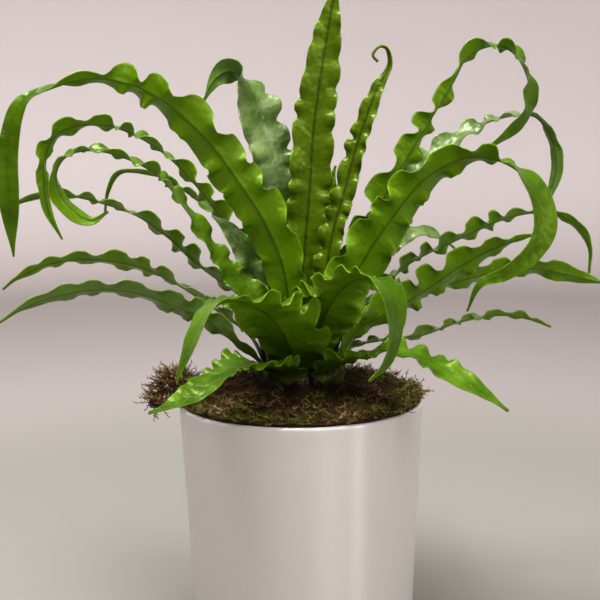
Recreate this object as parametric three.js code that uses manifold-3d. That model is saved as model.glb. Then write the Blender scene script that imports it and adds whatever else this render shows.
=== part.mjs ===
// A potted fern with long wavy strap fronds, in a tapered satin pot topped with moss.
// Millimetres, +Z up. The origin is the centre of the pot's flat base.
// The side seen in the photograph is -Y.
import * as THREE from "three";
import { mergeVertices } from "three/addons/utils/BufferGeometryUtils.js";
import Module from "manifold-3d";

// ---- Driving dimensions ----------------------------------------------------------------------------------
const GAP = 0.3; // left between pieces that touch on the real plant

const POT_HEIGHT = 150;
const POT_RIM_RADIUS = 75; // outside, at the lip
const POT_BASE_RADIUS = 67.5; // outside, at the floor
const POT_WALL = 3.5;
const POT_FLOOR = 5;
const POT_BASE_CHAMFER = 1.5;
const POT_SIDES = 44;

const SOIL_TOP = 138;
const CROWN_SEAT_DEPTH = 6;

const CROWN_RADIUS = 28;
const CROWN_TOP = 163;
const CROWN_FALL = 9; // how much lower its edge is than its top
const CROWN_SIDES = 28;
const SCALE_RELIEF = 0.9;
const SCALE_LENGTH = 4; // from one row of scales to the next
const SCALES_IN_ROW = 8;

const MOSS_HEIGHT = 160; // beside the crown
const MOSS_RIM_HEIGHT = 155; // at the lip
const MOSS_TUFT = 2.2; // relief of its tufts
const MOSS_EDGE = 1.5; // thickness that its outer edge thins to
const MOSS_INSET = 1.5; // how far inside the lip's outer face its edge lies, on average
const MOSS_SIDES = 52;
const MOSS_RINGS = 9;

// One tuft spills over the lip on the left.
const SPILL_DIRECTION = 175; // degrees from +X towards +Y
const SPILL_FULL_ANGLE = 7; // to either side of that, where it still has its full reach
const SPILL_END_ANGLE = 24; // where it ends
const SPILL_REACH = 20; // how far it hangs out over the lip
const SPILL_HEIGHT = 11; // how much higher it stands there
const SPILL_DROOP = 7; // how far its edge hangs down outside the lip

const SOCKET_SPACING = 3.5; // scale of the spiral that the fronds grow in
const SOCKET_DEPTH = 9;
const SOCKET_RADIUS = 2.6; // to the corners of its square section
const GOLDEN_ANGLE = 137.508;
const STALK_LENGTH = 14; // straight length of a frond from its foot

const STALK_WIDTH = 3;
const STALK_THICKNESS = 2.4;
const RIB_THICKNESS = 1.5;
const BLADE_THICKNESS = 1;
const BLADE_CUP = 0.14; // how far the blade's halves rise from the rib, per unit of half width
const EDGE_SCALLOP = 0.14; // how far the edge swings out with each full wave, as a share of half width
const FULL_WAVE = 3; // the height from which a wave has its full swing
const CREST_SPREAD = 0.35; // how much longer a crest is than a trough, as a share of half a wave
const WAVE_DRIFT = 0.2; // how unevenly long the waves are, in waves
const DRIFT_PERIOD = 3.3; // how many waves that takes to repeat
const WAVE_SWELL = 0.3; // how unevenly high they are, as a share of their height
const SWELL_PERIOD = 2.3;
const BLADE_SWAY = 9; // how far the whole blade rocks about its rib, in degrees
const SWAY_PERIOD = 4.1;
const LONG_WAVE = 20; // a wave this long has stations between its crests and troughs too
const SUBSTEPS = 4; // steps in which the blade's direction is carried along the rib, for each quarter wave

// ---- The fronds ------------------------------------------------------------------------------------------
// socket: place on the crown's spiral. facing: compass direction it leans to, degrees from +X towards +Y.
// rib: points that its rib passes through after the stalk. width, ruffle (height of the edge's waves) and
// turn (twist about the rib, in degrees) are values at even steps from foot to tip.
const FRONDS = [
  {
    name: "tall", socket: 1, facing: 90, waves: 16,
    rib: [
      [1, 8, 198], [2, 10, 228], [6, 13, 268], [9, 15, 308], [13, 17, 338], [18, 19, 368], [25, 23, 404],
    ],
    width: [3, 10, 20, 24, 25, 25, 24, 21, 15, 1],
    ruffle: [0, 0.3, 1, 1.4, 1.7, 1.7, 1.7, 1.5, 1, 0],
    turn: [0, 0, 0, 0],
  },
  {
    name: "great_left", socket: 4, facing: 190, waves: 16,
    rib: [
      [-6, -9, 201], [-10, -16, 234], [-20, -22, 260], [-34, -29, 283], [-50, -36, 306], [-70, -43, 326],
      [-91, -50, 338], [-113, -55, 341], [-133, -59, 336], [-149, -62, 327], [-156, -64, 303],
      [-157, -63, 273], [-157, -60, 245],
    ],
    width: [3, 9, 16, 23, 26, 25, 23, 21, 17, 11, 7, 9, 11, 10, 1],
    ruffle: [0, 0, 1.5, 3, 4.5, 5.5, 6, 6, 4.5, 1.5, 0.3, 0.3, 0.3, 0],
    turn: [20, 50, 75, 80, 78, 72, 66, 20, -60, -80, -80],
  },
  {
    name: "fold_back", socket: 6, facing: 112, waves: 14,
    rib: [
      [-7, 22, 232], [-9, 27, 264], [-15, 29, 294], [-23, 33, 317], [-28, 36, 335], [-34, 39, 347],
      [-42, 41, 352], [-52, 43, 347], [-60, 44, 333],
    ],
    width: [3, 8, 18, 24, 26, 27, 28, 27, 17, 1],
    ruffle: [0, 0, 1.5, 2.5, 3, 3, 2.5, 1, 0],
    turn: [0, 0, 0, 0, 0, 0, 0, 0, 30, 120, 170],
  },
  {
    name: "curl", socket: 0, facing: 30, waves: 17,
    rib: [
      [14, -1, 217], [21, 2, 253], [28, 5, 277], [34, 8, 298], [41, 10, 319], [48, 12, 337], [56, 14, 351],
      [55, 14, 361], [50, 13, 363], [46, 12, 358], [49, 12, 354],
    ],
    width: [3, 8, 14, 15, 14, 13, 12, 10, 4, 1],
    ruffle: [0, 0, 1.5, 2.5, 2.8, 2.8, 2.4, 1.2, 0, 0],
    turn: [0, 20, 40, 40, 30, 10],
  },
  {
    name: "behind_tall", socket: 11, facing: 70, waves: 8,
    rib: [[11, 22, 215], [16, 31, 245], [20, 38, 267], [22, 44, 284], [24, 47, 292]],
    width: [3, 8, 14, 18, 17, 11, 1],
    ruffle: [0, 0, 1.5, 2.5, 2.5, 1, 0],
    turn: [0, 0, 10],
  },
  {
    name: "hook_right", socket: 8, facing: 15, waves: 14,
    rib: [
      [30, 7, 217], [38, 9, 244], [46, 9, 262], [62, 12, 290], [80, 16, 318], [95, 19, 342], [102, 20, 355],
      [112, 21, 362], [123, 23, 364], [133, 24, 360], [140, 25, 351], [144, 26, 338], [142, 27, 323],
      [131, 28, 311], [115, 28, 299],
    ],
    width: [3, 7, 16, 21, 22, 20, 17, 16, 14, 10, 13, 13, 11, 13, 9, 1],
    ruffle: [0, 0.3, 3, 4.5, 5, 5, 5, 4, 3.5, 3.5, 3, 2, 0.5, 0],
    turn: [0, -20, -45, -55, -55, -60, -60, -20, 20, 40, 60],
  },
  {
    name: "arch_right", socket: 16, facing: 25, waves: 19,
    rib: [
      [30, 22, 213], [46, 26, 242], [61, 28, 267], [80, 31, 293], [103, 38, 310], [129, 44, 321],
      [152, 48, 322], [164, 49, 306], [167, 48, 289], [162, 46, 271], [156, 44, 259],
    ],
    width: [3, 7, 16, 21, 21, 18, 15, 13, 11, 9, 8, 1],
    ruffle: [0, 0, 1, 3.5, 3.5, 3, 2, 0.8, 0.3, 0],
    turn: [0, 20, 40, 40, 20, 0, -40, -60],
  },
  {
    name: "great_right", socket: 5, facing: -20, waves: 14,
    rib: [
      [20, -10, 203], [36, -14, 233], [53, -22, 260], [72, -31, 284], [94, -40, 296], [115, -48, 293],
      [130, -54, 279], [135, -58, 260], [129, -60, 245], [114, -62, 233], [99, -63, 227], [92, -63, 212],
    ],
    width: [3, 10, 22, 28, 28, 25, 21, 17, 16, 16, 15, 11, 6, 1],
    ruffle: [0, 0, 2.5, 4, 4.5, 4.5, 3, 0.5, 0.2, 0.2, 0],
    turn: [0, -20, -50, -60, -60, -40, 0, 40, 60, 70],
  },
  {
    name: "right_up", socket: 29, facing: 20, waves: 15,
    rib: [
      [35, 19, 197], [50, 23, 212], [65, 27, 227], [82, 34, 236], [100, 41, 243], [121, 47, 252],
      [141, 53, 258], [158, 56, 260], [173, 57, 257], [186, 58, 248], [192, 57, 235], [192, 56, 219],
    ],
    width: [3, 7, 15, 18, 18, 17, 15, 12, 8, 7, 1],
    ruffle: [0, 0, 2.5, 3.5, 3.5, 3.5, 2.5, 1, 0.3, 0],
    turn: [0, -20, -35, -35, -20],
  },
  {
    name: "right_back", socket: 24, facing: 42, waves: 8,
    rib: [
      [23, 31, 207], [39, 43, 226], [56, 50, 238], [70, 60, 246], [84, 68, 247], [97, 74, 242],
      [107, 78, 234],
    ],
    width: [3, 7, 15, 18, 18, 14, 9, 1],
    ruffle: [0, 0, 2, 3, 3, 1.5, 0],
    turn: [0, 25, 35],
  },
  {
    name: "right_mid", socket: 13, facing: -8, waves: 9,
    rib: [
      [33, -7, 192], [50, -12, 203], [68, -10, 213], [83, -11, 223], [97, -14, 233], [111, -17, 241],
      [125, -19, 247], [141, -22, 252],
    ],
    width: [3, 7, 16, 23, 25, 22, 17, 10, 1],
    ruffle: [0, 0, 2, 3.5, 4, 3.5, 1.5, 0],
    turn: [0, -30, -50, -50, -40],
  },
  {
    name: "right_out", socket: 21, facing: 10, waves: 10,
    rib: [
      [37, 8, 191], [62, 13, 205], [94, 18, 218], [123, 22, 224], [149, 26, 226], [172, 30, 221],
      [196, 33, 215],
    ],
    width: [3, 6, 13, 18, 18, 18, 17, 15, 12, 1],
    ruffle: [0, 0, 2, 2.5, 2.5, 2.5, 2, 1.5, 0],
    turn: [0, -20, -30, -55, -60],
  },
  {
    name: "right_low", socket: 42, facing: 20, waves: 10,
    rib: [
      [31, 14, 178], [52, 23, 182], [77, 32, 183], [104, 42, 190], [132, 50, 193], [153, 56, 189],
      [168, 60, 183],
    ],
    width: [3, 7, 13, 16, 15, 12, 9, 1],
    ruffle: [0, 0.5, 2, 2.5, 2.5, 1.5, 0],
    turn: [0, -10, -15],
  },
  {
    name: "front_right_low", socket: 31, facing: -48, waves: 12,
    rib: [
      [17, -22, 172], [32, -40, 183], [47, -56, 190], [65, -72, 188], [82, -86, 181], [96, -97, 173],
      [107, -105, 166],
    ],
    width: [12, 25, 30, 27, 22, 18, 12, 1],
    ruffle: [0, 1, 3, 3, 2, 1, 0.3, 0],
    turn: [0, 0, 10, 20],
  },
  {
    name: "front_right", socket: 10, facing: -80, waves: 15,
    rib: [
      [8, -17, 182], [13, -31, 203], [21, -50, 221], [31, -74, 232], [42, -90, 233], [48, -100, 223],
      [48, -104, 206], [44, -105, 192], [35, -104, 182],
    ],
    width: [5, 17, 35, 42, 34, 23, 19, 16, 10, 1],
    ruffle: [0, 0.3, 3.5, 5, 4.5, 1.5, 0.2, 0.2, 0],
    turn: [0, 0, 0, 0, 0],
  },
  {
    name: "front_left", socket: 7, facing: -103, waves: 11,
    rib: [
      [-5, -24, 182], [-12, -41, 201], [-23, -60, 215], [-36, -80, 222], [-47, -96, 220], [-53, -106, 210],
      [-57, -112, 200], [-63, -116, 186],
    ],
    width: [8, 25, 44, 48, 38, 25, 19, 16, 10, 1],
    ruffle: [0, 1.5, 4, 5.5, 5.5, 1.5, 0.2, 0.2, 0],
    turn: [0, 0, 0, 0, 0],
  },
  {
    name: "front_left_low", socket: 28, facing: -122, waves: 12,
    rib: [
      [-11, -24, 171], [-22, -40, 179], [-34, -56, 183], [-47, -72, 178], [-59, -86, 172], [-71, -98, 168],
      [-79, -104, 167],
    ],
    width: [14, 29, 32, 28, 22, 18, 12, 1],
    ruffle: [0, 1.5, 3, 3, 1.5, 0.5, 0.2, 0],
    turn: [0, 0, -10, -20],
  },
  {
    name: "left_low", socket: 33, facing: 195, waves: 10,
    rib: [
      [-24, -10, 174], [-38, -12, 186], [-54, -16, 201], [-77, -22, 213], [-99, -28, 221], [-121, -33, 223],
      [-144, -37, 219], [-160, -40, 213], [-172, -42, 206],
    ],
    width: [3, 8, 16, 18, 18, 16, 13, 9, 1],
    ruffle: [0, 0.5, 2, 2, 1.5, 1.2, 0.6, 0],
    turn: [0, 25, 35, 35, 30],
  },
  {
    name: "left_mid", socket: 17, facing: 167, waves: 11,
    rib: [
      [-30, 6, 187], [-48, 12, 201], [-65, 19, 212], [-85, 26, 223], [-108, 32, 231], [-135, 38, 234],
      [-162, 43, 231], [-185, 47, 221], [-195, 49, 214],
    ],
    width: [3, 7, 14, 16, 17, 16, 13, 8, 1],
    ruffle: [0, 0.3, 2, 2, 2, 1.5, 1, 0],
    turn: [0, 20, 30, 35, 30],
  },
  {
    name: "left_up", socket: 30, facing: 155, waves: 12,
    rib: [
      [-27, 18, 201], [-40, 26, 213], [-54, 33, 222], [-68, 40, 232], [-80, 45, 243], [-92, 50, 252],
      [-106, 55, 261], [-125, 60, 268], [-151, 65, 274], [-176, 68, 273], [-200, 70, 264],
    ],
    width: [3, 7, 16, 19, 18, 16, 14, 12, 10, 1],
    ruffle: [0, 0, 2.5, 3, 3, 2.5, 2, 0.5, 0],
    turn: [0, 20, 40, 30, 20, 20],
  },
  {
    name: "left_wisp", socket: 22, facing: 148, waves: 10,
    rib: [
      [-28, 32, 231], [-46, 43, 254], [-64, 46, 270], [-86, 58, 284], [-106, 68, 289], [-121, 75, 288],
      [-129, 79, 276], [-132, 80, 262],
    ],
    width: [3, 5, 11, 14, 14, 10, 7, 6, 1],
    ruffle: [0, 0, 2, 2.5, 2.5, 1, 0, 0],
    turn: [0, 20, 30, 20],
  },
  {
    name: "hook_left", socket: 9, facing: 170, waves: 16,
    rib: [
      [-19, 11, 220], [-32, 13, 242], [-48, 14, 262], [-63, 17, 281], [-79, 20, 298], [-96, 23, 310],
      [-115, 25, 318], [-133, 26, 319], [-148, 27, 315], [-158, 27, 302], [-160, 26, 283], [-157, 25, 265],
      [-149, 24, 248],
    ],
    width: [3, 6, 13, 18, 19, 16, 13, 11, 12, 12, 13, 11, 8, 6, 1],
    ruffle: [0, 0, 2, 3, 3.5, 3, 3, 3, 3, 2.5, 2, 0.5, 0],
    turn: [0, 20, 45, 50, 40, 20, 20, 30, 50, 60],
  },
  {
    name: "arch_left", socket: 25, facing: 187, waves: 15,
    rib: [
      [-25, -8, 209], [-41, -10, 228], [-54, -11, 248], [-66, -13, 267], [-80, -15, 286], [-97, -17, 297],
      [-117, -18, 303], [-133, -19, 301], [-141, -19, 292], [-141, -19, 279], [-133, -19, 268],
      [-122, -18, 262], [-112, -17, 267],
    ],
    width: [3, 7, 14, 16, 17, 15, 14, 12, 10, 7, 8, 13, 12, 1],
    ruffle: [0, 0, 1.5, 2, 2, 2.5, 3, 2.5, 1, 0.3, 0],
    turn: [0, -20, -45, -45, -20, 0, 0, 0, 20, 45],
  },
  {
    name: "short_left", socket: 38, facing: 175, waves: 7,
    rib: [[-24, 0, 203], [-27, 5, 222], [-34, 3, 242], [-43, 2, 255], [-53, 3, 263]],
    width: [3, 4, 6, 9, 15, 13, 1],
    ruffle: [0, 0, 0.8, 1.5, 3, 1.5, 0],
    turn: [0, -50, -60, -60],
  },
  {
    name: "back_high", socket: 19, facing: 92, waves: 11,
    rib: [[3, 34, 202], [4, 54, 238], [3, 84, 262], [0, 116, 266], [-4, 146, 240], [-6, 162, 212]],
    width: [3, 8, 18, 24, 24, 20, 15, 10, 1],
    ruffle: [0, 0, 2.5, 4, 4, 2.5, 1, 0],
    turn: [0, 0, 0],
  },
  {
    name: "back_left_mid", socket: 27, facing: 102, waves: 10,
    rib: [[-5, 38, 189], [-10, 62, 214], [-18, 94, 234], [-28, 128, 234], [-36, 154, 208], [-40, 166, 188]],
    width: [3, 8, 17, 22, 22, 18, 14, 9, 1],
    ruffle: [0, 0, 2.5, 4, 4, 2.5, 1, 0],
    turn: [0, 0, 0],
  },
  {
    name: "back_right_low", socket: 32, facing: 78, waves: 9,
    rib: [[10, 32, 184], [17, 60, 204], [24, 100, 214], [34, 140, 204], [42, 172, 184]],
    width: [3, 8, 17, 21, 20, 14, 1],
    ruffle: [0, 0.3, 2.5, 3.5, 3, 1.5, 0],
    turn: [0, 0, 0],
  },
  {
    name: "back_left_low", socket: 35, facing: 122, waves: 8,
    rib: [[-16, 32, 182], [-34, 58, 196], [-52, 88, 200], [-64, 112, 194], [-72, 130, 184]],
    width: [3, 8, 16, 20, 18, 12, 1],
    ruffle: [0, 0.3, 2.5, 3.5, 3, 1.5, 0],
    turn: [0, 0, 0],
  },
  {
    name: "back_right_mid", socket: 37, facing: 52, waves: 8,
    rib: [[24, 28, 188], [38, 52, 208], [54, 80, 214], [66, 106, 206], [74, 126, 192]],
    width: [3, 8, 16, 20, 18, 12, 1],
    ruffle: [0, 0.3, 2.5, 3.5, 3, 1.5, 0],
    turn: [0, 0, 0],
  },
];

// ---- Materials -------------------------------------------------------------------------------------------
const glaze = new THREE.MeshStandardMaterial({ color: 0xd9cbc6, roughness: 0.3, metalness: 0 });
const growingMedium = new THREE.MeshStandardMaterial({ color: 0x2e2118, roughness: 1, metalness: 0 });
const drySphagnum = new THREE.MeshStandardMaterial({ color: 0x5a4a22, roughness: 1, metalness: 0 });
const scalyStem = new THREE.MeshStandardMaterial({ color: 0x2b1c12, roughness: 0.9, metalness: 0 });
const leaf = new THREE.MeshStandardMaterial({ color: 0x3f7a10, roughness: 0.4, metalness: 0 });

// ---- Solids ----------------------------------------------------------------------------------------------
const wasm = await Module();
wasm.setup();

function solid(geometry) {
  const bare = new THREE.BufferGeometry();
  bare.setAttribute("position", geometry.getAttribute("position"));
  bare.setIndex(geometry.index);
  const merged = mergeVertices(bare, 1e-4);
  const vertProperties = new Float32Array(merged.getAttribute("position").array);
  const triVerts = new Uint32Array(merged.index.array);
  return new wasm.Manifold(new wasm.Mesh({ numProp: 3, vertProperties, triVerts }));
}

function geometryOf(manifold) {
  const mesh = manifold.getMesh();
  const geometry = new THREE.BufferGeometry();
  geometry.setAttribute("position", new THREE.BufferAttribute(mesh.vertProperties, 3));
  geometry.setIndex(new THREE.BufferAttribute(mesh.triVerts, 1));
  return geometry;
}

// A turned shape about +Z. Its profile is a list of [radius, height] points that runs up the outside.
function turned(profile, sides) {
  const points = profile.map(([radius, height]) => new THREE.Vector2(radius, height));
  return new THREE.LatheGeometry(points, sides).rotateX(Math.PI / 2);
}

function named(name, geometry, material) {
  const mesh = new THREE.Mesh(geometry, material);
  mesh.name = name;
  return mesh;
}

// ---- Pot -------------------------------------------------------------------------------------------------
const potOutside = (z) => THREE.MathUtils.lerp(POT_BASE_RADIUS, POT_RIM_RADIUS, z / POT_HEIGHT);
const potInside = (z) => potOutside(z) - POT_WALL;

function potGeometry() {
  const lip = POT_WALL / 2;
  const lipCentre = POT_RIM_RADIUS - lip;
  const lipArc = [0, 45, 90, 135, 180].map((degrees) => {
    const angle = THREE.MathUtils.degToRad(degrees);
    return [lipCentre + lip * Math.cos(angle), POT_HEIGHT - lip + lip * Math.sin(angle)];
  });
  return turned(
    [
      [0, 0],
      [POT_BASE_RADIUS - POT_BASE_CHAMFER, 0],
      [potOutside(POT_BASE_CHAMFER), POT_BASE_CHAMFER],
      ...lipArc,
      [potInside(POT_FLOOR + POT_BASE_CHAMFER), POT_FLOOR + POT_BASE_CHAMFER],
      [potInside(POT_FLOOR) - POT_BASE_CHAMFER, POT_FLOOR],
      [0, POT_FLOOR],
    ],
    POT_SIDES,
  );
}

// ---- Soil: fills the pot, with a round seat for the crown ------------------------------------------------
function soilGeometry() {
  const floor = POT_FLOOR + GAP;
  const seat = CROWN_RADIUS + GAP;
  return turned(
    [
      [0, floor],
      [potInside(floor) - POT_BASE_CHAMFER - 2 * GAP, floor],
      [potInside(floor + POT_BASE_CHAMFER) - 2 * GAP, floor + POT_BASE_CHAMFER],
      [potInside(SOIL_TOP) - 2 * GAP, SOIL_TOP],
      [seat, SOIL_TOP],
      [seat, SOIL_TOP - CROWN_SEAT_DEPTH],
      [0, SOIL_TOP - CROWN_SEAT_DEPTH],
    ],
    POT_SIDES,
  );
}

// ---- Crown: the scaly rootstock, with a straight socket for each frond's foot -----------------------------
const crownHeight = (radius) => CROWN_TOP - CROWN_FALL * (radius / CROWN_RADIUS) ** 2;

function crownGeometry(feet) {
  const bottom = SOIL_TOP - CROWN_SEAT_DEPTH + GAP;
  const rings = [1, 0.85, 0.68, 0.5, 0.3, 0];
  const dome = rings.map((share) => [share * CROWN_RADIUS, crownHeight(share * CROWN_RADIUS)]);
  const side = [[0, bottom], [CROWN_RADIUS, bottom], [CROWN_RADIUS, SOIL_TOP + GAP]];
  const body = turned([...side, ...dome], CROWN_SIDES);
  const position = body.getAttribute("position");
  const point = new THREE.Vector3();
  for (let i = 0; i < position.count; i++) {
    point.fromBufferAttribute(position, i);
    const radius = Math.hypot(point.x, point.y);
    const angle = Math.atan2(point.y, point.x);
    if (point.z < SOIL_TOP + GAP || radius < 1) continue;
    // Overlapping scales run round the stem in rows that are offset by half a scale.
    const row = Math.round(radius / SCALE_LENGTH);
    const scale = Math.cos(SCALES_IN_ROW * angle + row * Math.PI);
    const share = Math.min(1, radius / (3 * SCALE_LENGTH)); // they flatten out towards the middle
    position.setZ(i, point.z + SCALE_RELIEF * scale * share);
  }
  let crown = solid(body);
  for (const { foot, aim } of feet) crown = crown.subtract(solid(socketGeometry(foot, aim)));
  return geometryOf(crown);
}

// A square hole from just under a foot, out through the crown's surface.
function socketGeometry(foot, aim) {
  const length = 3 * SOCKET_DEPTH;
  const hole = new THREE.CylinderGeometry(SOCKET_RADIUS, SOCKET_RADIUS, length, 4);
  hole.translate(0, length / 2 - GAP, 0);
  hole.applyQuaternion(new THREE.Quaternion().setFromUnitVectors(new THREE.Vector3(0, 1, 0), aim));
  return hole.translate(foot.x, foot.y, foot.z);
}

// ---- Moss: one mounded sheet that lies on the soil round the crown and spills over the lip ----------------
// Waves of three sizes that cross one another stand for its tufts.
function mossTop(radius, angle) {
  const share = (radius - CROWN_RADIUS) / (POT_RIM_RADIUS - CROWN_RADIUS);
  const mound = THREE.MathUtils.lerp(MOSS_HEIGHT, MOSS_RIM_HEIGHT, THREE.MathUtils.clamp(share, 0, 1));
  const large = Math.sin(7 * angle + radius / 5) * Math.cos(radius / 6);
  const middling = 0.7 * Math.sin(13 * angle - radius / 3.5);
  const small = 0.5 * Math.sin(23 * angle + radius / 2.5);
  const raised = SPILL_HEIGHT * spill(angle) * THREE.MathUtils.smoothstep(radius, 60, 84);
  return mound + 0.6 * MOSS_TUFT * (large + middling + small) + raised;
}

// 1 where the moss spills over the lip, falling to 0 beside it.
function spill(angle) {
  const off = THREE.MathUtils.radToDeg(angle) - SPILL_DIRECTION;
  const nearest = Math.abs(THREE.MathUtils.euclideanModulo(off + 180, 360) - 180);
  return 1 - THREE.MathUtils.smoothstep(nearest, SPILL_FULL_ANGLE, SPILL_END_ANGLE);
}

// The moss's section in one direction, from its foot beside the crown to its edge and back over its top.
function mossSection(angle) {
  const inner = CROWN_RADIUS + GAP;
  const foot = SOIL_TOP + GAP;
  const overLip = POT_HEIGHT + 2 * GAP;
  const wall = (z) => potInside(z) - 2 * GAP;
  const ragged = 0.7 * Math.sin(5 * angle + 1) + 0.5 * Math.sin(11 * angle);
  const fringe = 2 * Math.sin(17 * angle) * spill(angle);
  const outer = POT_RIM_RADIUS - MOSS_INSET + ragged + SPILL_REACH * spill(angle) + fringe;
  const clear = POT_RIM_RADIUS + 3;
  const droop = (radius) => SPILL_DROOP * THREE.MathUtils.smoothstep(radius, clear, clear + SPILL_REACH);
  const top = Array.from({ length: MOSS_RINGS }, (_, i) => {
    const share = 1 - i / (MOSS_RINGS - 1);
    const radius = THREE.MathUtils.lerp(inner, outer, share);
    const lowest = overLip - droop(radius) + MOSS_EDGE;
    const rounded = THREE.MathUtils.smoothstep(share, 0.75, 1.05);
    return [radius, Math.max(lowest, THREE.MathUtils.lerp(mossTop(radius, angle), lowest, rounded))];
  });
  return [
    [inner, foot],
    [wall(foot), foot],
    [wall(POT_HEIGHT - POT_WALL / 2), POT_HEIGHT - POT_WALL / 2],
    [wall(POT_HEIGHT), overLip],
    [Math.min(outer - 1, POT_RIM_RADIUS + 1), overLip],
    [outer, overLip - droop(outer)],
    ...top,
  ];
}

// A ring round +Z whose closed section changes with direction.
function ringOf(sectionAt, sides) {
  const points = [];
  const triangles = [];
  const size = sectionAt(0).length;
  for (let s = 0; s < sides; s++) {
    const angle = (2 * Math.PI * s) / sides;
    for (const [radius, height] of sectionAt(angle)) {
      points.push(new THREE.Vector3(radius * Math.cos(angle), radius * Math.sin(angle), height));
    }
    for (let k = 0; k < size; k++) {
      const a = s * size + k;
      const b = s * size + ((k + 1) % size);
      const c = ((s + 1) % sides) * size + ((k + 1) % size);
      const d = ((s + 1) % sides) * size + k;
      triangles.push(a, d, c, a, c, b);
    }
  }
  const geometry = new THREE.BufferGeometry().setFromPoints(points);
  geometry.setIndex(triangles);
  return geometry;
}

// ---- Fronds ----------------------------------------------------------------------------------------------
// A smooth value at share u of the way along evenly spaced values.
function along(values, u) {
  const last = values.length - 1;
  const i = Math.min(Math.floor(u * last), last - 1);
  const t = u * last - i;
  const [a, b, c, d] = [-1, 0, 1, 2].map((k) => values[THREE.MathUtils.clamp(i + k, 0, last)]);
  return b + 0.5 * t * (c - a + t * (2 * a - 5 * b + 4 * c - d + t * (3 * (b - c) + d - a)));
}

// Where a frond's foot stands in the crown, and the direction that its stalk leaves in.
function footing(frond) {
  const radius = SOCKET_SPACING * Math.sqrt(frond.socket + 0.5);
  const angle = THREE.MathUtils.degToRad(GOLDEN_ANGLE * frond.socket);
  const height = crownHeight(radius) - SOCKET_DEPTH;
  const foot = new THREE.Vector3(radius * Math.cos(angle), radius * Math.sin(angle), height);
  const aim = new THREE.Vector3(...frond.rib[0]).sub(foot).normalize();
  return { foot, aim };
}

// The share of the rib that is run where share s of its waves is over. The waves are unevenly long.
function ribShare(frond, s) {
  const uneven = Math.sin((2 * Math.PI * frond.waves * s) / DRIFT_PERIOD + frond.socket);
  return s + (WAVE_DRIFT / frond.waves) * uneven * Math.sin(Math.PI * s);
}

// The rib's places, with the directions along it, across the blade and up from its upper face.
function ribFrames(frond, steps) {
  const { foot, aim } = footing(frond);
  const neck = foot.clone().addScaledVector(aim, STALK_LENGTH);
  const points = [foot, neck, ...frond.rib.map((p) => new THREE.Vector3(...p))];
  const curve = new THREE.CatmullRomCurve3(points, false, "catmullrom", 0.5);
  curve.arcLengthDivisions = 400;
  const facing = THREE.MathUtils.degToRad(frond.facing);
  const across = new THREE.Vector3(-Math.sin(facing), Math.cos(facing), 0);
  const length = curve.getLength();
  const frames = [];
  for (let i = 0; i <= steps; i++) {
    const u = THREE.MathUtils.clamp(ribShare(frond, i / steps), 0, 1);
    const phase = (2 * Math.PI * frond.waves * i) / steps;
    const tangent = curve.getTangentAt(u);
    across.addScaledVector(tangent, -across.dot(tangent)).normalize();
    const sway = BLADE_SWAY * Math.sin(phase / SWAY_PERIOD + frond.socket);
    const turn = THREE.MathUtils.degToRad(along(frond.turn, u) + sway);
    const side = across.clone().applyAxisAngle(tangent, turn);
    const up = tangent.clone().cross(side);
    frames.push({ u, phase, run: u * length, place: curve.getPointAt(u), tangent, side, up });
  }
  return { frames, waveLength: length / frond.waves };
}

// How far an edge (-1 left, 1 right) reaches out, rises and slides along the rib at one place in its waves.
// One edge is at its crest where the other is at its trough, and crests are rounded where troughs are sharp.
function edgeAt(frond, edge, phase, half, wave, waveLength) {
  const swing = edge * Math.cos(phase);
  const swell = 1 + WAVE_SWELL * Math.sin(phase / SWELL_PERIOD + 2 * edge + frond.socket);
  const fullness = Math.min(1, wave / FULL_WAVE);
  const lobe = 2 * Math.sqrt((1 + swing) / 2) - 1;
  return {
    reach: edge * half * (1 + EDGE_SCALLOP * fullness * swell * lobe),
    lift: BLADE_CUP * half + wave * swell * swing,
    slide: (edge * Math.sin(phase) * fullness * CREST_SPREAD * waveLength) / (2 * Math.PI),
  };
}

// A blade with a rib: each station has its left edge, rib and right edge, on the upper and on the lower face.
function frondGeometry(frond) {
  const { frames, waveLength } = ribFrames(frond, frond.waves * 4 * SUBSTEPS);
  const spacing = waveLength > LONG_WAVE ? SUBSTEPS : 2 * SUBSTEPS;
  const stations = frames.filter((_, i) => i % spacing === 0);
  const vertices = [];
  for (const { u, phase, run, place, tangent, side, up } of stations) {
    const blade = THREE.MathUtils.smoothstep(run, SOCKET_DEPTH + 2, STALK_LENGTH + 8);
    const half = THREE.MathUtils.lerp(STALK_WIDTH, along(frond.width, u), blade) / 2;
    const wave = along(frond.ruffle, u) * blade;
    const rib = THREE.MathUtils.lerp(STALK_THICKNESS, RIB_THICKNESS, blade);
    const columns = [-1, 0, 1].map((edge) => {
      if (edge === 0) return place;
      const { reach, lift, slide } = edgeAt(frond, edge, phase, half, wave, waveLength);
      const column = place.clone().addScaledVector(side, reach).addScaledVector(up, lift);
      return column.addScaledVector(tangent, slide);
    });
    for (const face of [1, -1]) {
      columns.forEach((column, i) => {
        const thickness = i === 1 ? rib : BLADE_THICKNESS;
        vertices.push(column.clone().addScaledVector(up, (face * thickness) / 2));
      });
    }
  }
  return bladeMesh(vertices, stations.length);
}

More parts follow.
